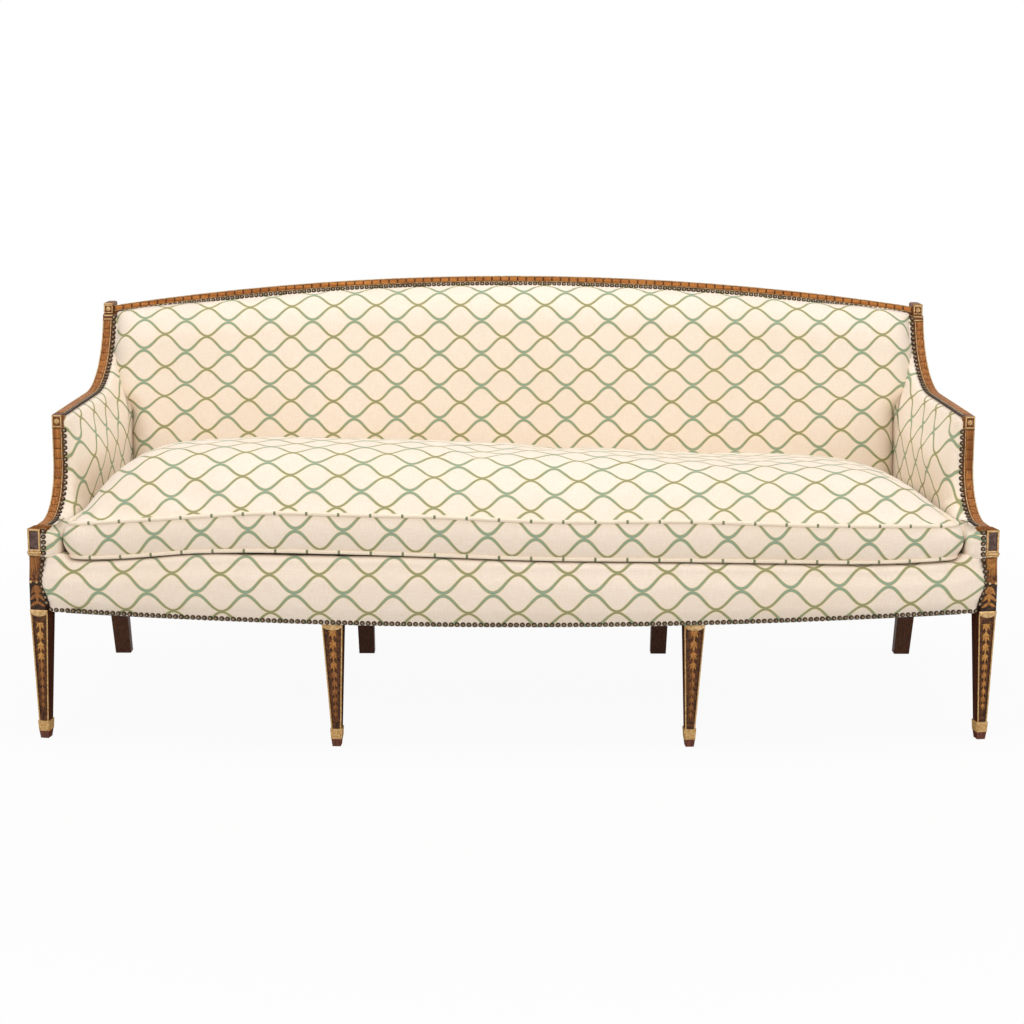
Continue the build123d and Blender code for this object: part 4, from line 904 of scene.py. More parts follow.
def seat_cushion():
    """Grids of points of the crowned top of the cushion and of its underside on the deck."""
    x, d = cushion_plan()
    fore_aft = np.broadcast_to(cushion_back[:, None], x.shape)
    wide = np.broadcast_to(np.abs(cushion_share)[None, :], x.shape)
    seam = seam_heights(x, d, False)
    crown = keyed(CROWN_LINE, x) - seam
    across = (1 - wide**14) ** 1.3
    front_roll = np.sin(np.clip(fore_aft / 0.265, 0, 1) * math.pi / 2) ** 0.9
    rear_roll = np.sin(np.clip((1 - fore_aft) / 0.2, 0, 1) * math.pi / 2) ** 0.75
    rear_roll = rear_roll * (1 - 0.3 * smooth(0.38, 0.95, fore_aft))
    lumps = np.empty(x.shape)
    for r in range(CUSHION_ROWS):
        for c in range(CUSHION_COLUMNS):
            spot = Vector((x[r, c] * 0.0045, d[r, c] * 0.006, 11.3))
            lumps[r, c] = noise.noise(spot) + 0.5 * noise.noise(spot * 2.7)
    rise = crown * across * np.minimum(front_roll, rear_roll)
    z = seam + rise + 2.6 * lumps * across * np.minimum(front_roll, rear_roll)
    top = np.stack([x, d, z], axis=-1)
    low_seam = seam_heights(x, d, True)
    deck = DECK_END + DECK_CROWN * (1 - (np.abs(x) / CUSHION_HALF) ** 2) + 3.6
    edge = np.minimum(np.minimum(fore_aft * 610, (1 - fore_aft) * 610), (1 - wide) * CUSHION_HALF)
    settle = smooth(0, 70, edge)
    bottom = np.stack([x, d, low_seam * (1 - settle) + deck * settle], axis=-1)
    return top, bottom


def loop_of(surface):
    """The rim of a grid as one closed run of points, from the left end of its front edge."""
    rows, cols = surface.shape[:2]
    front = [surface[0, c] for c in range(cols)]
    right = [surface[r, cols - 1] for r in range(1, rows - 1)]
    rear = [surface[rows - 1, c] for c in range(cols - 1, -1, -1)]
    left = [surface[r, 0] for r in range(rows - 2, 0, -1)]
    return np.array(front + right + rear + left)


def outward_of(loop):
    """Level outward direction at each point of a closed loop."""
    along = np.roll(loop, -1, axis=0) - np.roll(loop, 1, axis=0)
    out = np.stack([along[:, 1], -along[:, 0], np.zeros(len(loop))], axis=-1)
    return out / np.linalg.norm(out, axis=1)[:, None]


def build_cushion():
    """Cover of the cushion, with a top, a boxed edge and an underside, and its two welts."""
    top, bottom = seat_cushion()
    rows, cols = top.shape[:2]
    points = [top.reshape(-1, 3)]
    faces = grid_faces(rows, cols)
    run = run_lengths(top)
    side = run_lengths(top, 1)
    side -= side[:, cols // 2][:, None]
    uv = [on_cloth(side, run - 0.019 * side, TOP_START, TOP_REPEAT).reshape(-1, 2)]
    rim_top = loop_of(top)
    rim_low = loop_of(bottom)
    out = outward_of(rim_top)
    levels = np.linspace(0, 1, 11)
    count = len(rim_top)
    length = run_lengths(np.concatenate([rim_top, rim_top[:1]]))
    front_middle = cols // 2
    band = []
    band_uv = []
    for level in levels:
        bulge = (9.0 + 8.0 * smooth(850, 915, np.abs(rim_top[:, 0]))) * (1 - (2 * level - 1) ** 2) ** 0.8
        spot = rim_top * (1 - level) + rim_low * level + out * bulge[:, None]
        closed = np.concatenate([spot, spot[:1]])
        band.append(closed)
        fall = np.linalg.norm(closed - np.concatenate([rim_top, rim_top[:1]]), axis=1)
        band_uv.append(on_cloth(length - length[front_middle], -fall, BOX_START, BOX_REPEAT))
    start = rows * cols
    points.append(np.array(band).reshape(-1, 3))
    uv.append(np.array(band_uv).reshape(-1, 2))
    for r in range(len(levels) - 1):
        for c in range(count):
            a = start + r * (count + 1) + c
            faces.append((a, a + count + 1, a + count + 2, a + 1))
    start += len(levels) * (count + 1)
    points.append(bottom.reshape(-1, 3))
    uv.append(np.stack([bottom[..., 0], bottom[..., 1]], axis=-1).reshape(-1, 2))
    faces += moved(flipped(grid_faces(rows, cols)), start)
    made = add_piece(
        "seat_cushion_cover", np.concatenate(points), faces, cloth, np.concatenate(uv), "seat_cushion",
        ("cushion_cover", "cushion_fill"),
    )
    rims = (("welt_top", rim_top), ("welt_bottom", rim_low))
    return made, [cord_round(name, rim + out * 2.0, f"cushion_{name}") for name, rim in rims]


def cord_round(name, loop, node):
    """A cloth-covered cord sewn round a closed seam."""
    ring = 12
    along = np.roll(loop, -1, axis=0) - np.roll(loop, 1, axis=0)
    along /= np.linalg.norm(along, axis=1)[:, None]
    out = outward_of(loop)
    up = np.cross(out, along)
    length = run_lengths(np.concatenate([loop, loop[:1]]))
    points = []
    uv = []
    for index in range(len(loop) + 1):
        at = index % len(loop)
        swell = WELT_RADIUS * (0.94 + 0.08 * noise.noise(Vector((length[index] * 0.03, 5.0, 0.0))))
        for turn in range(ring + 1):
            bend = 2 * math.pi * turn / ring - math.pi
            points.append(loop[at] + swell * (math.cos(bend) * out[at] + math.sin(bend) * up[at]))
            uv.append((length[index], bend * swell))
    faces = grid_faces(len(loop) + 1, ring + 1)
    return add_piece(name, points, faces, piping, uv, "seat_cushion", (node,))


def settle_cloth(obj, free):
    """Short cloth simulation of the free points of a piece, its seams held and its moves capped."""
    mesh = obj.data
    count = len(mesh.vertices)
    before = np.empty(count * 3, dtype=np.float32)
    mesh.vertices.foreach_get("co", before)
    copy = bpy.data.objects.new("settling", mesh.copy())
    scene.collection.objects.link(copy)
    held = copy.vertex_groups.new(name="held")
    held.add(np.flatnonzero(~free).tolist(), 1.0, "REPLACE")
    made = copy.modifiers.new("settling", "CLOTH")
    made.settings.quality = 4
    made.settings.tension_stiffness = 14.0
    made.settings.compression_stiffness = 8.0
    made.settings.shear_stiffness = 5.0
    made.settings.bending_stiffness = 2.0
    made.settings.use_pressure = True
    made.settings.uniform_pressure_force = SIM_PRESSURE
    made.settings.shrink_min = -0.003
    made.settings.effector_weights.gravity = 0.0
    made.settings.vertex_group_mass = "held"
    made.collision_settings.use_collision = False
    made.point_cache.frame_start = 1
    made.point_cache.frame_end = SIM_FRAMES
    for moment in range(1, SIM_FRAMES + 1):
        scene.frame_set(moment)
    shape = copy.evaluated_get(bpy.context.evaluated_depsgraph_get()).data
    after = np.empty(count * 3, dtype=np.float32)
    shape.vertices.foreach_get("co", after)
    shift = (after - before).reshape(-1, 3)
    far = np.maximum(np.linalg.norm(shift, axis=1), 1e-9)
    shift *= np.minimum(1.0, SIM_CAP * MM / far)[:, None]
    mesh.vertices.foreach_set("co", (before.reshape(-1, 3) + shift).ravel())
    mesh.update()
    bpy.data.objects.remove(copy, do_unlink=True)
    scene.frame_set(1)


border = front_border()
back = inside_back()
for side, word in SIDES:
    inside_arm(side, word)
cushion, welts = build_cushion()
inner = np.zeros((CUSHION_ROWS, CUSHION_COLUMNS), dtype=bool)
inner[1:-1, 1:-1] = True
free = np.zeros(len(cushion.data.vertices), dtype=bool)
free[: inner.size] = inner.ravel()
settle_cloth(cushion, free)


# Tight covers of the outside, the deck under the cushion and the cloths under the seat
def flat_area(obj):
    """Area of a cloth in square metres."""
    return sum(polygon.area for polygon in obj.data.polygons)


def cut_size(obj, first, second):
    """Width and length of the rectangle that a cloth is cut from."""
    corners = np.array([v.co for v in obj.data.vertices])
    low, high = corners.min(axis=0), corners.max(axis=0)
    return float(high[first] - low[first]), float(high[second] - low[second])


def tight_sheet(obj, first, second):
    """Works out the rectangle that a tight cloth is cut from; the result is not kept."""
    width, length = cut_size(obj, first, second)
    area = flat_area(obj)
    length = max(length, area / width)


def outside_arm(side, word):
    """Tight cover of the outside of an arm, from under the rail to the arm, the stump and the post."""
    foot = STUMP_BACK - 170
    ledge = 371.0
    outline = []
    for u in np.linspace(STUMP_BACK + 1, SWEEP_FOOT, 26):
        outline.append((u, arm_top(u) - ARM_THICK - 1.0))
    outline += arc((SWEEP_U, SWEEP_Z), SWEEP_RADIUS + ARM_THICK + 1.0, -86, -42, 16)
    under_u, under_z = outline[-1]
    reach = back_y(under_z + UNDER_ARM) - 6 - under_u
    for rise in np.linspace(8, UNDER_ARM, 5):
        outline.append((under_u + rise * reach / UNDER_ARM, under_z + rise))
    for z in np.linspace(under_z + UNDER_ARM - 6, RAIL_BOTTOM, 44):
        outline.append((back_y(z) - 0.6, z))
    for u in np.linspace(back_y(RAIL_BOTTOM) - 14, foot, 44):
        outline.append((u, RAIL_BOTTOM))
    for z in np.linspace(RAIL_BOTTOM + 12, ledge, 9):
        outline.append((foot, z))
    for u in np.linspace(foot + 12, STUMP_BACK + 1, 14):
        outline.append((u, ledge))
    for z in np.linspace(ledge + 12, arm_top(STUMP_BACK) - ARM_THICK - 12, 22):
        outline.append((STUMP_BACK + 1, z))
    outline = np.array(outline)
    centre = np.array(OUTER_HUB)
    rings = np.concatenate([[1.0, 0.995, 0.985, 0.97, 0.94], np.linspace(0.9, 0.04, 20)])
    spots = (centre + (outline - centre)[None] * rings[:, None, None]).reshape(-1, 2)
    share = np.repeat(rings, len(outline))
    inward = SIDE_RAIL_INSET - 0.3 - COVER_THICK * smooth(0.0, 0.03, 1 - share) - 1.2 * (1 - share**3)
    points = arm_points(spots[:, 0], spots[:, 1], inward, side)
    hub = arm_points(centre[:1], centre[1:], np.array([0.9]), side)
    points = np.concatenate([points, hub])
    faces = mirrored(dome_faces(len(rings), len(outline)), side)
    uv = np.concatenate([spots, [centre]]) * np.array([-side, 1.0])
    made = add_piece(
        f"outside_arm_{word}", points, faces, cloth, uv, "frame", (f"outside_arm_cover_{word}",),
    )
    tight_sheet(made, 1, 2)


def outside_back():
    """Tight cover of the back, from post to post."""
    columns, rows = 120, 52
    half = POST_INNER - 1
    low = REAR_RAIL_BOTTOM / math.cos(LEAN) + 12
    x = np.linspace(-half, half, columns)
    top = arch_s(x, OUTSIDE_DROP)
    share = np.concatenate([[0.0, 0.004, 0.012], np.linspace(0.03, 0.97, rows - 6), [0.988, 0.996, 1.0]])
    up = low + (top - low)[None, :] * share[:, None]
    behind = -BACK_THICK * math.cos(LEAN) - 0.3
    edge = np.minimum(np.minimum(share, 1 - share)[:, None] * 500, ((half - np.abs(x)))[None, :])
    forward = behind - COVER_THICK * smooth(0, 5, edge) - 1.5 * smooth(0, 160, edge)
    points = back_points(np.broadcast_to(x, up.shape), up, forward)
    uv = np.stack([-np.broadcast_to(x, up.shape) + 50.0, up], axis=-1)
    faces = flipped(grid_faces(rows, columns))
    made = add_piece(
        "outside_back", points, faces, cloth, uv, "frame", ("outside_back_cover",)
    )
    tight_sheet(made, 0, 2)


def deck():
    """Platform cloth under the cushion, a little uneven over the springs."""
    columns, rows = 110, 44
    half = 887.0
    x = np.linspace(-half, half, columns)
    front = bow_y(x, EDGE_ROLL + 1)
    rear = back_y(373.0) - 4
    share = np.linspace(0, 1, rows)
    d = front[None, :] + (rear - front)[None, :] * share[:, None]
    wide = np.broadcast_to(x, d.shape)
    z = DECK_END + DECK_CROWN * (1 - (wide / (half + 2)) ** 2) + 1.3
    sprung = np.sin(wide / 118.0 * math.pi) * np.sin((d - SPRING_FIRST) / SPRING_STEP * 2 * math.pi)
    edge = np.minimum(np.minimum(share, 1 - share)[:, None] * 600, half - np.abs(wide))
    z = z - 2.2 * (1 - smooth(0, 24, edge)) + 0.5 * sprung * smooth(10, 60, edge) - 0.5
    points = np.stack([wide, d, z], axis=-1)
    uv = np.stack([wide, d], axis=-1)
    made = add_piece(
        "deck_platform", points, grid_faces(rows, columns), platform, uv, "frame",
        ("deck_cloth", "deck_pad"),
    )


def dust_cover():
    """Black cloth under the seat, cut out round the front legs."""
    columns, rows = 150, 60
    rear = back_y(REAR_RAIL_BOTTOM) - 4
    reach = ARM_X - SIDE_RAIL_INSET - TACKING - math.tan(ARM_SPLAY) * rear - 10
    x = np.linspace(-reach, reach, columns)
    front = bow_y(x, RAIL_FRONT + 8)
    first = float(bow_y(0.0, RAIL_FRONT))
    share = np.linspace(0, 1, rows)
    d = front[None, :] + (rear - front)[None, :] * share[:, None]
    wide = np.broadcast_to(x, d.shape)
    ends = min(float(sag_z(reach)), REAR_RAIL_BOTTOM) - 2.4
    middle = float(sag_z(0.0)) - 2.4
    near = middle + (ends - middle) * (wide / reach) ** 2
    far = REAR_RAIL_BOTTOM - 1.5
    back_share = (d - first) / (rear - first)
    sag = 5.0 * np.sin(math.pi * np.clip(back_share, 0, 1)) * (1 - (wide / reach) ** 4)
    z = near + (far - near) * back_share - 1.0 - sag
    points = np.stack([wide, d, z], axis=-1)
    faces = []
    flat = points.reshape(-1, 3)
    leg_back = MIDDLE_LEG_FRONT + LEG_TOP_DEEP + 8
    for face in grid_faces(rows, columns):
        middle_x, middle_d = np.mean([flat[i][:2] for i in face], axis=0)
        by_leg = abs(abs(middle_x) - (MIDDLE_LEG_X + 6)) < 38 and middle_d < leg_back
        by_corner = abs(middle_x) > LEG_X - 32 - LEG_TOP_WIDE / 2 and middle_d < 62
        if not (by_leg or by_corner):
            faces.append(tuple(reversed(face)))
    used = sorted({i for face in faces for i in face})
    place = {old: new for new, old in enumerate(used)}
    faces = [tuple(place[i] for i in face) for face in faces]
    uv = flat[used][:, :2]
    made = add_piece("dust_cloth", flat[used], faces, cambric, uv, "frame", ("dust_cover",))
    tight_sheet(made, 0, 1)


def spring_spots():
    """Middles of the springs, which the webbing runs under."""
    inner = MIDDLE_LEG_X - BRACE_HALF - SPRING_RADIUS - 14.0
    outer = MIDDLE_LEG_X + BRACE_HALF + SPRING_RADIUS + 6.0
    end = HALF_CHORD - 72.0 - SPRING_RADIUS - 44.0
    across = []
    for share in (0.0, 1 / 3, 2 / 3, 1.0):
        across += [-inner + share * 2 * inner, outer + share * (end - outer), -outer - share * (end - outer)]
    return sorted(across), [SPRING_FIRST + row * SPRING_STEP for row in range(3)]


def webbing():
    """Jute straps tacked under the rails, in two layers."""
    across, depths = spring_spots()
    cols = 6
    for name, lengthwise in (("webbing_lengthwise", True), ("webbing_crosswise", False)):
        points, faces, uv = [], [], []
        for at in depths if lengthwise else across:
            if lengthwise:
                end = ARM_X - SIDE_RAIL_INSET - TACKING - math.tan(ARM_SPLAY) * at
                run = np.linspace(-end, end, 160)
                z = np.full(160, RAIL_BOTTOM - 0.6)
            else:
                start = float(bow_y(at, RAIL_FRONT + TACKING))
                stop = back_y(REAR_RAIL_BOTTOM) + 16.0
                run = np.linspace(start, stop, 60)
                near = min(float(sag_z(max(abs(at) - STRAP_WIDE / 2, 0.0))) - 0.6, REAR_RAIL_BOTTOM)
                z = near - 0.6 + (REAR_RAIL_BOTTOM - near) * (run - start) / (stop - start)
            base = len(points)
            for k in range(len(run)):
                for c in range(cols):
                    side = STRAP_WIDE * (c / (cols - 1) - 0.5)
                    fray = 0.4 * noise.noise(Vector((run[k] * 0.05, at * 0.1, c * 3.0)))
                    off = at + side + fray
                    points.append((run[k], off, z[k]) if lengthwise else (off, run[k], z[k]))
                    uv.append((run[k], side))
            faces += moved(grid_faces(len(run), cols), base)
        made = add_piece(name + "_straps", points, faces, jute, uv, "frame", (name,))


def spring_cloth():
    """Hessian over the springs, lying on the rails."""
    columns, rows = 90, 36
    half = 940.0
    rail_top = 372.0
    x = np.linspace(-half, half, columns)
    front = np.maximum(bow_y(x, RAIL_FRONT + 6.0), np.where(np.abs(x) > 925, 60.0, -1e3))
    rear = np.where(np.abs(x) > POST_INNER - 3, back_y(rail_top) - 3, back_y(rail_top) + 10)
    share = np.linspace(0, 1, rows)
    d = front[None, :] + (rear - front)[None, :] * share[:, None]
    limit = ARM_X - math.sin(ARM_SPLAY) * d - MEMBER_WIDE - 2.0
    wide = np.clip(np.broadcast_to(x, d.shape), -limit, limit)
    points = np.stack([wide, d, np.full(d.shape, rail_top + 0.6)], axis=-1)
    made = add_piece(
        "spring_hessian", points, grid_faces(rows, columns), hessian, points[..., :2], "frame",
        ("spring_canvas",),
    )
    tight_sheet(made, 0, 1)


for side, word in SIDES:
    outside_arm(side, word)
outside_back()
deck()
dust_cover()
webbing()
spring_cloth()


# Nails
def nail_heads(name, places, replaced):
    """Dome nails from their points and outward directions."""
    profile = (
        (NAIL_RADIUS, -0.4), (NAIL_RADIUS, 0.5), (4.75, 1.2), (3.7, 2.25), (2.1, 3.0), (0.0, NAIL_HIGH),
    )
    ring = 14
    draw = random.Random(len(places))
    points = []
    faces = []
    # Share of the way to the crown of each nail, kept in the cloth coordinates; the bronze uses it for its
    # painted highlight.
    crown = []
    for point, out in places:
        out = Vector(out).normalized()
        tilt = Vector((draw.uniform(-1, 1), draw.uniform(-1, 1), draw.uniform(-1, 1))) * 0.07
        out = (out + tilt).normalized()
        first = out.orthogonal().normalized()
        second = out.cross(first)
        base = len(points)
        size = draw.uniform(0.96, 1.03)
        for radius, high in profile[:-1]:
            for turn in range(ring):
                bend = 2 * math.pi * turn / ring
                offset = first * math.cos(bend) + second * math.sin(bend)
                points.append(Vector(point) + offset * radius * size + out * high)
                crown.append((1 - radius / NAIL_RADIUS, 0.0))
        points.append(Vector(point) + out * profile[-1][1])
        crown.append((1.0, 0.0))
        faces += moved(dome_faces(len(profile) - 1, ring), base)
    points = [tuple(point) for point in points]
    return add_piece(name, points, faces, bronze_metal, crown, "frame", replaced)


def spaced(points, pitch, skip):
    """Points at an even pitch along a run, with the direction of the run."""
    points = np.asarray(points, float)
    length = run_lengths(points)
    count = int((length[-1] - 2 * skip) / pitch)
    at = skip + np.arange(count + 1) * (length[-1] - 2 * skip) / count

    def along(way):
        """Points at a way along the run."""
        return np.stack([np.interp(way, length, column) for column in points.T], axis=-1)

    return along(at), along(at + 1) - along(at - 1)


def front_nail_places():
    """Nails along the lower edge of the bowed front."""
    reach = CORNER_TURN - (LEG_TOP_WIDE / 2 + 7) / BOW_RADIUS
    count = int(2 * reach * BOW_RADIUS / NAIL_PITCH)
    low = RAIL_BOTTOM - RAIL_SAG - 1
    shoulder = BORDER_TOP - BORDER_SHOULDER
    places = []
    for index in range(count + 1):
        turn = -reach + 2 * reach * index / count
        height = float(sag_z(BOW_RADIUS * math.sin(turn))) + NAIL_LINE + 1
        share = (height - low) / (shoulder - low)
        off = BOW_RADIUS + BORDER_CROWN * 4 * share * (1 - share) + 0.3
        places.append((
            (off * math.sin(turn), BOW_CENTRE - off * math.cos(turn), height),
            (math.sin(turn), -math.cos(turn), 0.0),
        ))
    return places


def stump_line(start):
    """Front line of the stump, from the block of the leg up to the arm."""
    run = [(start, BLOCK_TOP), (STUMP_U, BLOCK_TOP)]
    run += arc((STUMP_U, STUMP_Z), STUMP_RADIUS, -88, 0, 40)
    run.append((STUMP_FRONT, arm_top(STUMP_FRONT) - ARM_THICK))
    return np.array(run)


def arm_line():
    """Top line of the arm and its sweep up to the head of the post."""
    run = [(STUMP_FRONT, arm_top(STUMP_FRONT)), (SWEEP_FOOT, arm_top(SWEEP_FOOT))]
    end = math.degrees(math.asin((HEAD_BOTTOM - SWEEP_Z) / SWEEP_RADIUS))
    return np.array(run + arc((SWEEP_U, SWEEP_Z), SWEEP_RADIUS, -87, end, 40))


def leg_place(points, leg):
    """Points given across, out and up from the front of a leg."""
    (x0, d0), turn, side, _ = leg
    across, out, z = points[:, 0], points[:, 1], points[:, 2]
    x = x0 + across * math.cos(turn) + out * math.sin(turn)
    d = d0 + across * math.sin(turn) - out * math.cos(turn)
    return np.stack([side * x, d, z], axis=-1)


# Nails down the inner edge of the block, the neck and the panel of a corner leg: across, out and up
LEG_NAILS = (
    (-14.0, -5.0, 441.0), (-14.2, -4.6, 429.6), (-14.2, -4.4, 418.2), (-14.0, -4.4, 406.8),
    (-13.4, -4.2, 395.4), (-12.2, -2.4, 384.0), (-10.8, 0.4, 372.4), (-9.2, 2.0, 360.8), (-8.2, 2.6, 349.2),
    (-8.2, 2.6, 337.6), (-9.8, 2.4, 326.2), (-12.8, 2.2, 315.0), (-16.0, 2.0, 303.8), (-18.2, 1.6, 292.4),
)


def arm_nail_places(side):
    """Nails up the stump, along the arm and its sweep, and down the edge of the corner leg."""
    inward = MEMBER_WIDE - 1.6
    outward = np.array([side * math.cos(ARM_SPLAY), math.sin(ARM_SPLAY), 0.0])
    places = []
    for line, skip in ((stump_line(50.0), 6.0), (arm_line(), 7.0)):
        run = arm_points(line[:, 0], line[:, 1], np.full(len(line), inward), side)
        found, along = spaced(run, NAIL_PITCH, skip)
        for point, ahead in zip(found, along):
            out = np.cross(ahead, outward) * -side
            out /= np.linalg.norm(out)
            places.append((tuple(point + 0.3 * out), tuple(out)))
    leg = LEGS["front_leg_left" if side < 0 else "front_leg_right"]
    facing = leg_place(np.array([(0.0, 0.0, 0.0), (-0.25, 1.0, 0.0)]), leg)
    for across, out, z in LEG_NAILS:
        places.append((tuple(leg_place(np.array([(across, out, z)]), leg)[0]), tuple(facing[1] - facing[0])))
    return places


def crest_nail_places():
    """Nails under the crest rail, from post to post."""
    half = POST_INNER - 6
    x = np.linspace(-half, half, 200)
    run = back_points(x, arch_s(x, CREST_NAIL_DROP), np.full(200, CREST_FORWARD + 1.3))
    found, _ = spaced(run, CREST_NAIL_PITCH, 0.0)
    out = (0.0, -math.cos(LEAN), math.sin(LEAN))
    return [(tuple(point), out) for point in found]


nail_heads("front_nails", front_nail_places(), ("nails_front",))
nail_heads("crest_nails", crest_nail_places(), ("nails_crest",))
for side, word in SIDES:
    nail_heads(f"arm_nails_{word}", arm_nail_places(side), (f"nails_arm_{word}",))


# Back posts with their heads, standing for the plain ones
def prism(profile, low, high):
    """Board of a side outline, given in depth and height, between two widths."""
    count = len(profile)
    points = [(low, d, z) for d, z in profile] + [(high, d, z) for d, z in profile]
    faces = [tuple(reversed(range(count))), tuple(range(count, 2 * count))]
    faces += [(k, (k + 1) % count, count + (k + 1) % count, count + k) for k in range(count)]
    return points, faces


def soften(obj, width):
    """Rounds the arrises of a piece."""
    made = obj.modifiers.new("arris", "BEVEL")
    made.width = width * MM
    made.segments = 3
    made.limit_method = "ANGLE"


def back_post(side, word):
    """A back post, its head, the end of the crest rail beside it and the leg below it."""

    def piece(name, profile, low, high, material, width, replaced=()):
        """A board of the post, its arrises rounded to a width."""
        points, faces = prism(profile, low, high)
        points = [(side * x, d, z) for x, d, z in points]
        faces = mirrored(faces, -side)
        soften(add_piece(name, points, faces, material, None, "frame", replaced, True), width)

    neck = HEAD_BOTTOM - 4
    piece(
        f"post_{word}",
        [(back_y(REAR_RAIL_BOTTOM), REAR_RAIL_BOTTOM), (back_y(neck), neck),
         (back_y(neck) + BACK_THICK, neck), (back_y(REAR_RAIL_BOTTOM) + BACK_THICK, REAR_RAIL_BOTTOM)],
        POST_INNER, POST_OUTER, showwood_post, 1.5, (f"back_post_{word}",),
    )
    front = back_y(HEAD_BOTTOM) - HEAD_FORWARD
    rise = BACK_SLOPE * (HEAD_TOP - HEAD_BOTTOM)
    piece(
        f"post_head_{word}",
        [(back_y(neck) + 2, neck), (front, HEAD_BOTTOM - 1), (front + rise, HEAD_TOP),
         (back_y(HEAD_TOP) + BACK_THICK, HEAD_TOP), (back_y(neck) + BACK_THICK, neck)],
        HEAD_INNER, POST_OUTER, showwood_post, 4.5,
    )
    low = float(arch_s(HEAD_INNER, CREST_BOARD))
    high = float(arch_s(HEAD_INNER))
    corners = []
    for forward, up in ((CREST_FORWARD, low), (CREST_FORWARD, high), (CREST_FORWARD - CREST_THICK, high),
                        (CREST_FORWARD - CREST_THICK, low)):
        corners.append(tuple(back_points(0.0, up, forward)[1:]))
    piece(
        f"crest_end_{word}", corners, POST_INNER + 0.1, HEAD_INNER + 1, showwood_crest,
        0.8,
    )
    foot = (REAR_FOOT_WIDE, REAR_FOOT_FRONT, REAR_FOOT_DEEP)
    top = (REAR_FOOT_WIDE + 6.0, back_y(REAR_RAIL_BOTTOM) - 2.0, REAR_FOOT_DEEP + 6.0)
    points = []
    for (wide, first, deep), z in ((foot, 0.0), (top, REAR_RAIL_BOTTOM)):
        half, last = wide / 2, first + deep
        for x, d in ((-half, first), (half, first), (half, last), (-half, last)):
            points.append((side * (REAR_LEG_X + x), d, z))
    faces = [(0, 3, 2, 1), (4, 5, 6, 7), (0, 1, 5, 4), (1, 2, 6, 5), (2, 3, 7, 6), (3, 0, 4, 7)]
    soften(add_piece(
        f"rear_leg_{word}", points, mirrored(faces, side), mahogany, None, "frame", (), True
    ), 1.5)


# Carved and gilded ornament
class Carving:
    """Small carved forms gathered into one mesh."""

    def __init__(self):
        self.points = []
        self.faces = []

    def add(self, points, faces):
        """Adds one form, already in its place."""
        base = len(self.points)
        self.points += [tuple(float(v) for v in p) for p in points]
        self.faces += moved(faces, base)

    def piece(self, name, material):
        """Makes the gathered forms one piece of the frame."""
        return add_piece(name, self.points, self.faces, material, None, "frame", ())


def merged(forms):
    """Several carved forms as one."""
    whole = Carving()
    for points, faces in forms:
        whole.add(points, faces)
    return np.array(whole.points), whole.faces


def leaf(length, width, relief, bend=0.0, full=0.75):
    """Pointed leaf hanging from its stem: across, out and up, with a midrib."""
    rows, cols = 9, 7
    points = []
    for r in range(rows):
        t = r / (rows - 1)
        half = width / 2 * max(math.sin(math.pi * min(1.0, 0.06 + 0.94 * t) ** full), 0.02) ** 0.85
        for c in range(cols):
            s = 2 * c / (cols - 1) - 1
            body = (1 - s * s) ** 0.6 if abs(s) < 1 else 0.0
            rib = 1.0 - 0.35 * math.exp(-((s / 0.22) ** 2))
            out = relief * body * rib * (0.45 + 0.55 * math.sin(math.pi * min(1.0, 0.2 + 0.7 * t)))
            points.append((bend * t * t + half * s, out - 0.25, -length * t))
    return np.array(points), flipped(grid_faces(rows, cols))


def bead(radius, relief):
    """Round bead on a face."""
    ring, rows = 12, 4
    points = []
    for r in range(rows):
        bend = math.pi / 2 * r / rows
        for c in range(ring):
            turn = 2 * math.pi * c / ring
            points.append((
                radius * math.cos(bend) * math.cos(turn), relief * math.sin(bend) - 0.2,
                radius * math.cos(bend) * math.sin(turn),
            ))
    points.append((0.0, relief - 0.2, 0.0))
    return np.array(points), flipped(dome_faces(rows, ring))


def tile(wide, high, relief, chamfer=0.9):
    """Flat raised block with chamfered edges."""
    a, b = wide / 2, high / 2
    points = []
    for inset, out in ((0.0, -0.3), (0.0, relief - chamfer * 0.6), (chamfer, relief)):
        for sx, sz in ((-1, -1), (1, -1), (1, 1), (-1, 1)):
            points.append((sx * (a - inset), out, sz * (b - inset)))
    faces = [(8, 9, 10, 11)]
    for level in (0, 4):
        for k in range(4):
            faces.append((level + k, level + (k + 1) % 4, level + 4 + (k + 1) % 4, level + 4 + k))
    return np.array(points), faces


def frame_square(wide, high, border, relief):
    """Raised square border round a field."""
    parts = []
    inside = high - 2 * border
    for x, z, w, h in (
        (0, high / 2 - border / 2, wide, border), (0, border / 2 - high / 2, wide, border),
        (wide / 2 - border / 2, 0, border, inside), (border / 2 - wide / 2, 0, border, inside),
    ):
        points, faces = tile(w, h, relief, min(0.6, border / 3))
        parts.append((points + np.array([x, 0.0, z]), faces))
    return merged(parts)


def rosette(radius, relief):
    """Small daisy with a bead in its middle."""
    petals = 8
    points, faces = leaf(radius, radius * 0.72, relief)
    parts = [(turned(points, 2 * math.pi * k / petals), faces) for k in range(petals)]
    return merged([*parts, bead(radius * 0.32, relief * 1.5)])


def turned(points, angle):
    """Points turned in the plane of the face."""
    c, s = math.cos(angle), math.sin(angle)
    x = points[:, 0] * c - points[:, 2] * s
    z = points[:, 0] * s + points[:, 2] * c
    return np.stack([x, points[:, 1], z], axis=-1)


# Husks on the upper and on the lower part of a leg: height, length and width
HUSKS = ((253, 24.0, 17.5), (228, 22.0, 16.5), (205, 21.0, 15.5), (183, 20.0, 14.5))
LOW_HUSKS = (
    (162, 18.0, 13.5), (143, 17.0, 12.5), (125, 16.0, 11.5), (108, 15.0, 10.5), (92, 15.0, 9.5),
    (76, 14.0, 8.5),
)
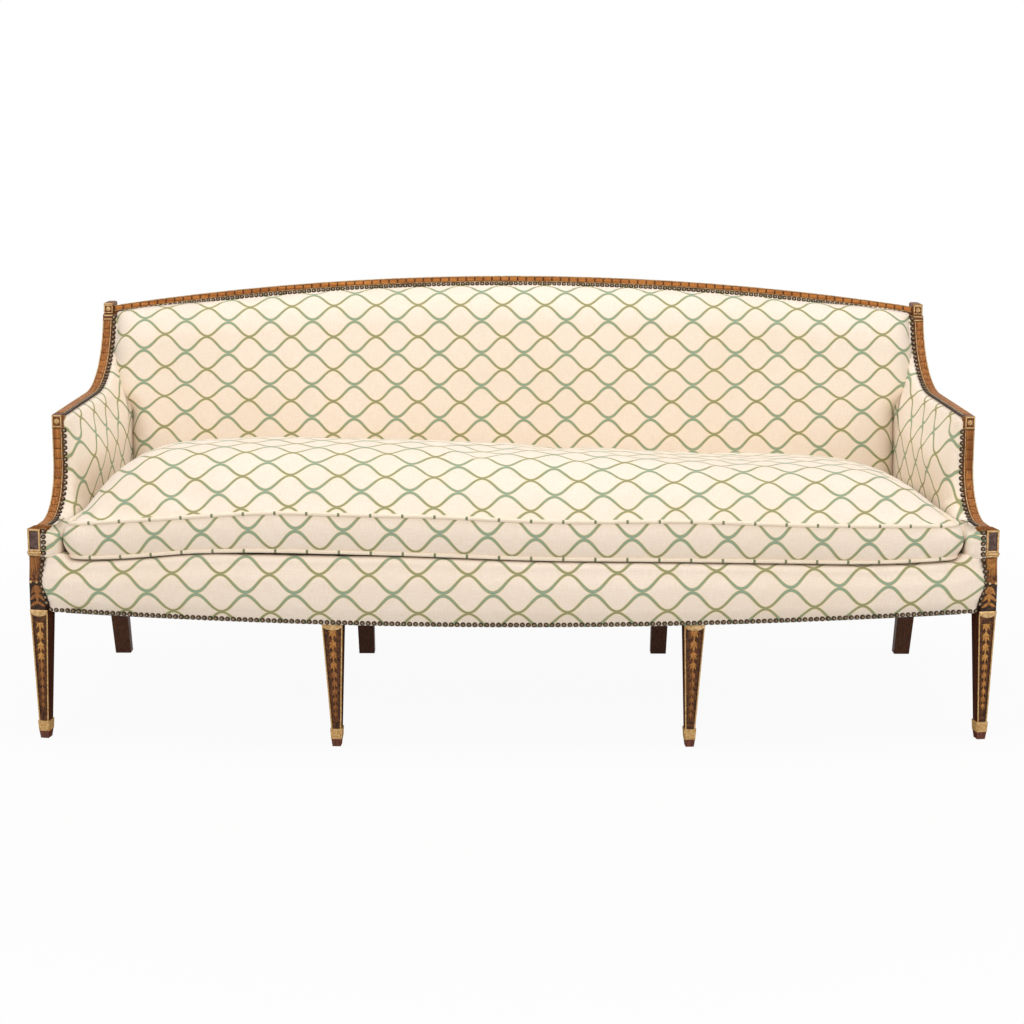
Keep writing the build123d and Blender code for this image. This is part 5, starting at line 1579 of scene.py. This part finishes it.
# Leaves of one husk: angle, share of its length and share of its width
HUSK_LEAVES = (
    (0.0, 1.0, 0.4), (0.42, 0.82, 0.36), (-0.42, 0.82, 0.36), (0.95, 0.5, 0.26), (-0.95, 0.5, 0.26),
)
# Leaves on the neck of a corner leg: angle, length, width, way across and height
NECK_LEAVES = (
    (0.0, 40.0, 9.0, 2.0, 326.0), (0.5, 24.0, 8.0, 3.0, 328.0), (-0.5, 24.0, 8.0, 1.0, 328.0),
    (0.75, 22.0, 8.0, 3.0, 310.0), (-0.75, 22.0, 8.0, 1.0, 310.0), (0.9, 18.0, 7.0, 3.0, 293.0),
    (-0.9, 18.0, 7.0, 1.0, 293.0), (2.4, 14.0, 6.0, 4.0, 312.0), (-2.4, 14.0, 6.0, 0.0, 312.0),
)
# Long leaves above the neck: way across, length and bend
TALL_LEAVES = ((-2.2, 44.0, -6.0), (2.0, 48.0, -2.5), (6.2, 50.0, 0.5), (10.0, 48.0, 3.0), (13.6, 44.0, 4.5))


def shaft_front(z, top):
    """How far the sunk panel of a leg lies behind its front face at a height."""
    return -(2.5 * (1 - (z - SHAFT_FOOT) / (top - SHAFT_FOOT)) + 2.0)


def lunette(wide, deep):
    """Half-moon plate with rays, flat along its top."""
    columns, rows = 23, 6
    points = []
    for r in range(rows):
        share = r / (rows - 1)
        for c in range(columns):
            s = 2 * c / (columns - 1) - 1
            fall = deep * (0.16 + 0.84 * math.sqrt(max(0.0, 1 - s * s)))
            ray = 0.25 * math.cos(s * math.pi * 5)
            edge = 1.0 if 0 < r < rows - 1 else 0.0
            points.append((s * wide / 2, edge * (1.1 + ray) - 0.3, -fall * share))
    return np.array(points), flipped(grid_faces(rows, columns))


def carve_leg(name, leg):
    """Husks, half-moon, neck leaves and block border of a front leg."""
    side, corner = leg[2:]
    top = 263.0 if corner else 272.0
    lean_out = 0.0 if corner else 5.5
    gold, husk, wood = Carving(), Carving(), Carving()

    def put(target, form, x, z, out, angle=0.0):
        """Lays a form on the front of the leg, turned by an angle."""
        points = turned(form[0], angle) + np.array([x, out, z])
        target.add(leg_place(points, leg), mirrored(form[1], side))

    for husks, target in ((HUSKS, husk), (LOW_HUSKS, wood)):
        for z, length, width in husks:
            z = z - (0 if corner else 4)
            x = lean_out * (z - SHAFT_FOOT) / (top - SHAFT_FOOT)
            sink = shaft_front(z, top)
            for angle, share, wide in HUSK_LEAVES:
                put(target, leaf(length * share, width * wide, 2.0), x, z, sink, angle)
            put(target, bead(width * 0.16, 1.7), x, z + 1.2, sink)
    if corner:
        put(gold, lunette(38.5, 14.0), 0.3, 276.0, 1.4)
        for x in (-11.5, 2.0, 15.5):
            put(gold, bead(3.0, 2.4), x, 334.5, 0.2)
        for angle, length, width, x, z in NECK_LEAVES:
            bend = 2.0 * math.copysign(1, angle) if angle else 0.0
            put(wood, leaf(length, width, 2.2, bend), x, z, 0.2, angle)
        for x, length, bend in TALL_LEAVES:
            put(wood, leaf(length, 5.4, 2.0, bend, 0.6), x, 387.0, -1.8)
        put(gold, frame_square(BLOCK_WIDE - 0.6, 46.0, 3.6, 1.0), 5.0, 422.5, 0.0)
        put(gold, tile(BLOCK_WIDE + 3.0, 4.0, 1.6, 1.0), 5.0, 396.5, 0.9)
        put(gold, tile(BLOCK_WIDE + 1.0, 2.4, 0.8, 0.6), 5.0, 391.6, 0.3)
    else:
        put(gold, lunette(43.0, 12.5), 5.4, 260.0, 0.9)
    gold.piece(f"gilt_{name}", gilt)
    husk.piece(f"husks_{name}", gilt_husk if corner else gilt_old)
    wood.piece(f"carving_{name}", gilt_old if corner and side > 0 else carved_leg)


class Strip:
    """The front or top face of an arm member, followed along its length."""

    def __init__(self, line, side):
        self.line = np.asarray(line, float)
        self.length = run_lengths(self.line)
        self.side = side

    def at(self, s, inward, out):
        """Points at a way along, a depth inward and a height off the face."""
        s = np.asarray(s, float)
        step = 1.5

        def along(way):
            """Length and height at a way along the line."""
            return np.array([np.interp(way, self.length, column) for column in self.line.T])

        du, dz = along(s + step) - along(s - step)
        size = np.hypot(du, dz)
        u, z = along(s)
        u = u - dz / size * out
        z = z + du / size * out
        return arm_points(u, z, np.broadcast_to(inward, u.shape), self.side)

    def rib(self, target, start, stop, inward, wide, high):
        """Raised fillet along the strip."""
        count = max(3, int((stop - start) / 5))
        s = np.linspace(start, stop, count)
        section = (
            (-wide / 2, -0.3), (-wide / 2, high * 0.6), (-wide / 5, high),
            (wide / 5, high), (wide / 2, high * 0.6), (wide / 2, -0.3),
        )
        points = np.array([self.at(s, inward + a, b) for a, b in section])
        faces = grid_faces(len(section), count)
        faces.append(tuple(k * count for k in range(len(section))))
        faces.append(tuple(k * count + count - 1 for k in reversed(range(len(section)))))
        target.add(points.reshape(-1, 3), mirrored(faces, -self.side))

    def put(self, target, form, s, inward):
        """A small carved form laid on the strip, its height along it."""
        points, faces = form
        placed = self.at(s + points[:, 2], inward + points[:, 0], points[:, 1])
        target.add(placed, mirrored(faces, -self.side))


def carve_arm(side, word):
    """Fillets and blocks along an arm, with the rosettes at its corner and on the head of its post."""
    gold, wood = Carving(), Carving()
    stump = Strip(stump_line(42.0), side)
    top = Strip(arm_line(), side)
    for strip, first, trim in ((stump, 4.0, 3.0), (top, 30.0, 14.0)):
        end = strip.length[-1] - trim
        strip.rib(gold, first, end, 1.4, 1.7, 1.0)
        strip.rib(gold, first, end, 19.2, 1.7, 0.9)
        count = int((end - first) / BLOCK_PITCH)
        pitch = (end - first) / count
        for k in range(count):
            strip.put(wood, tile(13.4, pitch - 1.9, 1.1), first + (k + 0.5) * pitch, 10.3)
    corner = arm_top(STUMP_FRONT)
    face = Strip([(STUMP_FRONT, corner - ARM_THICK), (STUMP_FRONT, corner)], side)
    for form in (frame_square(20.4, ARM_THICK - 1.0, 2.4, 1.2), rosette(6.6, 2.2)):
        face.put(gold, form, ARM_THICK / 2, 10.6)
    head_wide = POST_OUTER - HEAD_INNER
    middle = (POST_OUTER + HEAD_INNER) / 2
    head = back_y(HEAD_BOTTOM) - HEAD_FORWARD

    def on_head(form, z):
        """Lays a form on the front of the head of the post."""
        points, faces = form
        d = head + BACK_SLOPE * (z + points[:, 2] - HEAD_BOTTOM) - points[:, 1]
        placed = np.stack([side * (middle + points[:, 0]), d, z + points[:, 2]], axis=-1)
        gold.add(placed, mirrored(faces, side))

    for form in (frame_square(head_wide - 3.0, 19.0, 2.2, 1.1), rosette(6.4, 2.2)):
        on_head(form, 836.5)
    on_head(tile(head_wide - 1.0, 2.6, 1.6, 0.8), 848.0)
    for back in (3.0, 11.0):
        top.put(gold, tile(head_wide - 2.0, 2.6, 1.4, 0.7), top.length[-1] - back, head_wide / 2 + 1)
    gold.piece(f"gilt_arm_{word}", gilt)
    wood.piece(f"carving_arm_{word}", carved)


def crest_place(points, x, drop):
    """Points laid on the front of the crest rail at a width, a drop under its top edge."""
    across = x + points[:, 0]
    up = arch_s(across, drop) + points[:, 2]
    return back_points(across, up, CREST_FORWARD + points[:, 1])


def carve_crest():
    """Blocks along the crest rail between two fillets."""
    gold, wood = Carving(), Carving()
    half = HEAD_INNER - 2
    count = int(2 * half / BLOCK_PITCH)
    pitch = 2 * half / count
    for k in range(count):
        points, faces = tile(pitch - 3.6, 8.8, 1.4)
        wood.add(crest_place(points, -half + (k + 0.5) * pitch, 7.4), faces)
    columns = 180
    x = np.linspace(-half, half, columns)
    for drop, wide in ((1.4, 1.3), (12.8, 1.3)):
        section = ((-wide / 2, -0.3), (-wide / 2, 0.6), (0.0, 1.0), (wide / 2, 0.6), (wide / 2, -0.3))
        points = np.array([
            back_points(x, arch_s(x, drop) + a, np.full(columns, CREST_FORWARD + b)) for a, b in section
        ])
        gold.add(points.reshape(-1, 3), flipped(grid_faces(len(section), columns)))
    gold.piece("gilt_crest", gilt)
    wood.piece("carving_crest", carved_crest)


for name, leg in LEGS.items():
    carve_leg(name, leg)
for side, word in SIDES:
    carve_arm(side, word)
carve_crest()
for side, word in SIDES:
    back_post(side, word)


# Stage, light and camera
def stage_material():
    """White floor that still takes the shadow of the sofa."""
    s = Shader("stage_floor")
    spot = s.place()
    mottle = s.noise(spot, 2.0, 3.0)
    colour = s.mix(mottle, (0.6, 0.6, 0.6, 1.0), (0.64, 0.64, 0.64, 1.0))
    s.finish(colour, 0.9)
    output = s.tree.nodes["Material Output"]
    light = s.node("ShaderNodeEmission")
    light.inputs["Color"].default_value = (1.0, 1.0, 1.0, 1.0)
    light.inputs["Strength"].default_value = 1.0
    path = s.node("ShaderNodeLightPath")
    seen = s.math("MAXIMUM", path.outputs["Is Camera Ray"], path.outputs["Is Glossy Ray"])
    distance = s.node("ShaderNodeVectorMath", operation="LENGTH")
    s.link(spot, distance.inputs[0])
    share = s.math("MULTIPLY", seen, s.ramp(distance.outputs["Value"], 1.1, 2.6, 0.94, 1.0))
    blend = s.node("ShaderNodeMixShader")
    s.link(share, blend.inputs[0])
    s.link(s.bsdf.outputs[0], blend.inputs[1])
    s.link(light.outputs[0], blend.inputs[2])
    s.link(blend.outputs[0], output.inputs["Surface"])
    return s.material


floor_mesh = bpy.data.meshes.new("floor")
floor_mesh.from_pydata([(-30, -30, 0), (30, -30, 0), (30, 30, 0), (-30, 30, 0)], [], [(0, 1, 2, 3)])
floor_mesh.materials.append(stage_material())
floor = bpy.data.objects.new("floor", floor_mesh)
scene.collection.objects.link(floor)

world = bpy.data.worlds.new("studio")
scene.world = world
world.use_nodes = True
tree = world.node_tree
background = tree.nodes["Background"]
background.inputs["Color"].default_value = (1.0, 1.0, 1.0, 1.0)
background.inputs["Strength"].default_value = 0.54
white = tree.nodes.new("ShaderNodeBackground")
white.inputs["Color"].default_value = (1.0, 1.0, 1.0, 1.0)
white.inputs["Strength"].default_value = 1.0
path = tree.nodes.new("ShaderNodeLightPath")
either = tree.nodes.new("ShaderNodeMath")
either.operation = "MAXIMUM"
blend = tree.nodes.new("ShaderNodeMixShader")
tree.links.new(path.outputs["Is Camera Ray"], either.inputs[0])
tree.links.new(path.outputs["Is Glossy Ray"], either.inputs[1])
tree.links.new(either.outputs[0], blend.inputs[0])
tree.links.new(background.outputs[0], blend.inputs[1])
tree.links.new(white.outputs[0], blend.inputs[2])
tree.links.new(blend.outputs[0], tree.nodes["World Output"].inputs["Surface"])


def soft_light(name, place, aim, size, power, colour=(1.0, 1.0, 1.0)):
    """A large soft lamp."""
    lamp = bpy.data.lights.new(name, "AREA")
    lamp.shape = "RECTANGLE"
    lamp.size, lamp.size_y = size
    lamp.energy = power
    lamp.color = colour
    obj = bpy.data.objects.new(name, lamp)
    obj.location = place
    obj.rotation_euler = (Vector(aim) - Vector(place)).to_track_quat("-Z", "Y").to_euler()
    scene.collection.objects.link(obj)


soft_light("above", (0.0, -0.3, 3.2), (0.0, 0.0, 0.0), (3.6, 2.0), 42.0)
soft_light("left", (-2.4, -3.4, 2.4), (0.0, 0.0, 0.5), (2.2, 1.8), 46.0, (1.0, 0.92, 0.82))
soft_light("right", (2.6, -3.0, 1.9), (0.0, 0.0, 0.5), (2.0, 2.0), 35.0, (1.0, 0.92, 0.82))

CAMERA_PLACE = (-0.0107, -4.5533, 1.2772)
CAMERA_TURN = math.radians(-0.1)
CAMERA_TILT = math.radians(90 - 10.653)
CAMERA_ROLL = math.radians(0.11)
camera_data = bpy.data.cameras.new("camera")
camera_data.sensor_width = 36.0
camera_data.sensor_fit = "HORIZONTAL"
camera_data.lens = 73.75
camera_data.dof.use_dof = False
camera_data.clip_end = 60.0
camera = bpy.data.objects.new("camera", camera_data)
camera.matrix_world = (
    Matrix.Translation(CAMERA_PLACE) @ Matrix.Rotation(CAMERA_TURN, 4, "Z")
    @ Matrix.Rotation(CAMERA_TILT, 4, "X") @ Matrix.Rotation(CAMERA_ROLL, 4, "Z")
)
scene.collection.objects.link(camera)
scene.camera = camera
scene.view_settings.view_transform = "Standard"
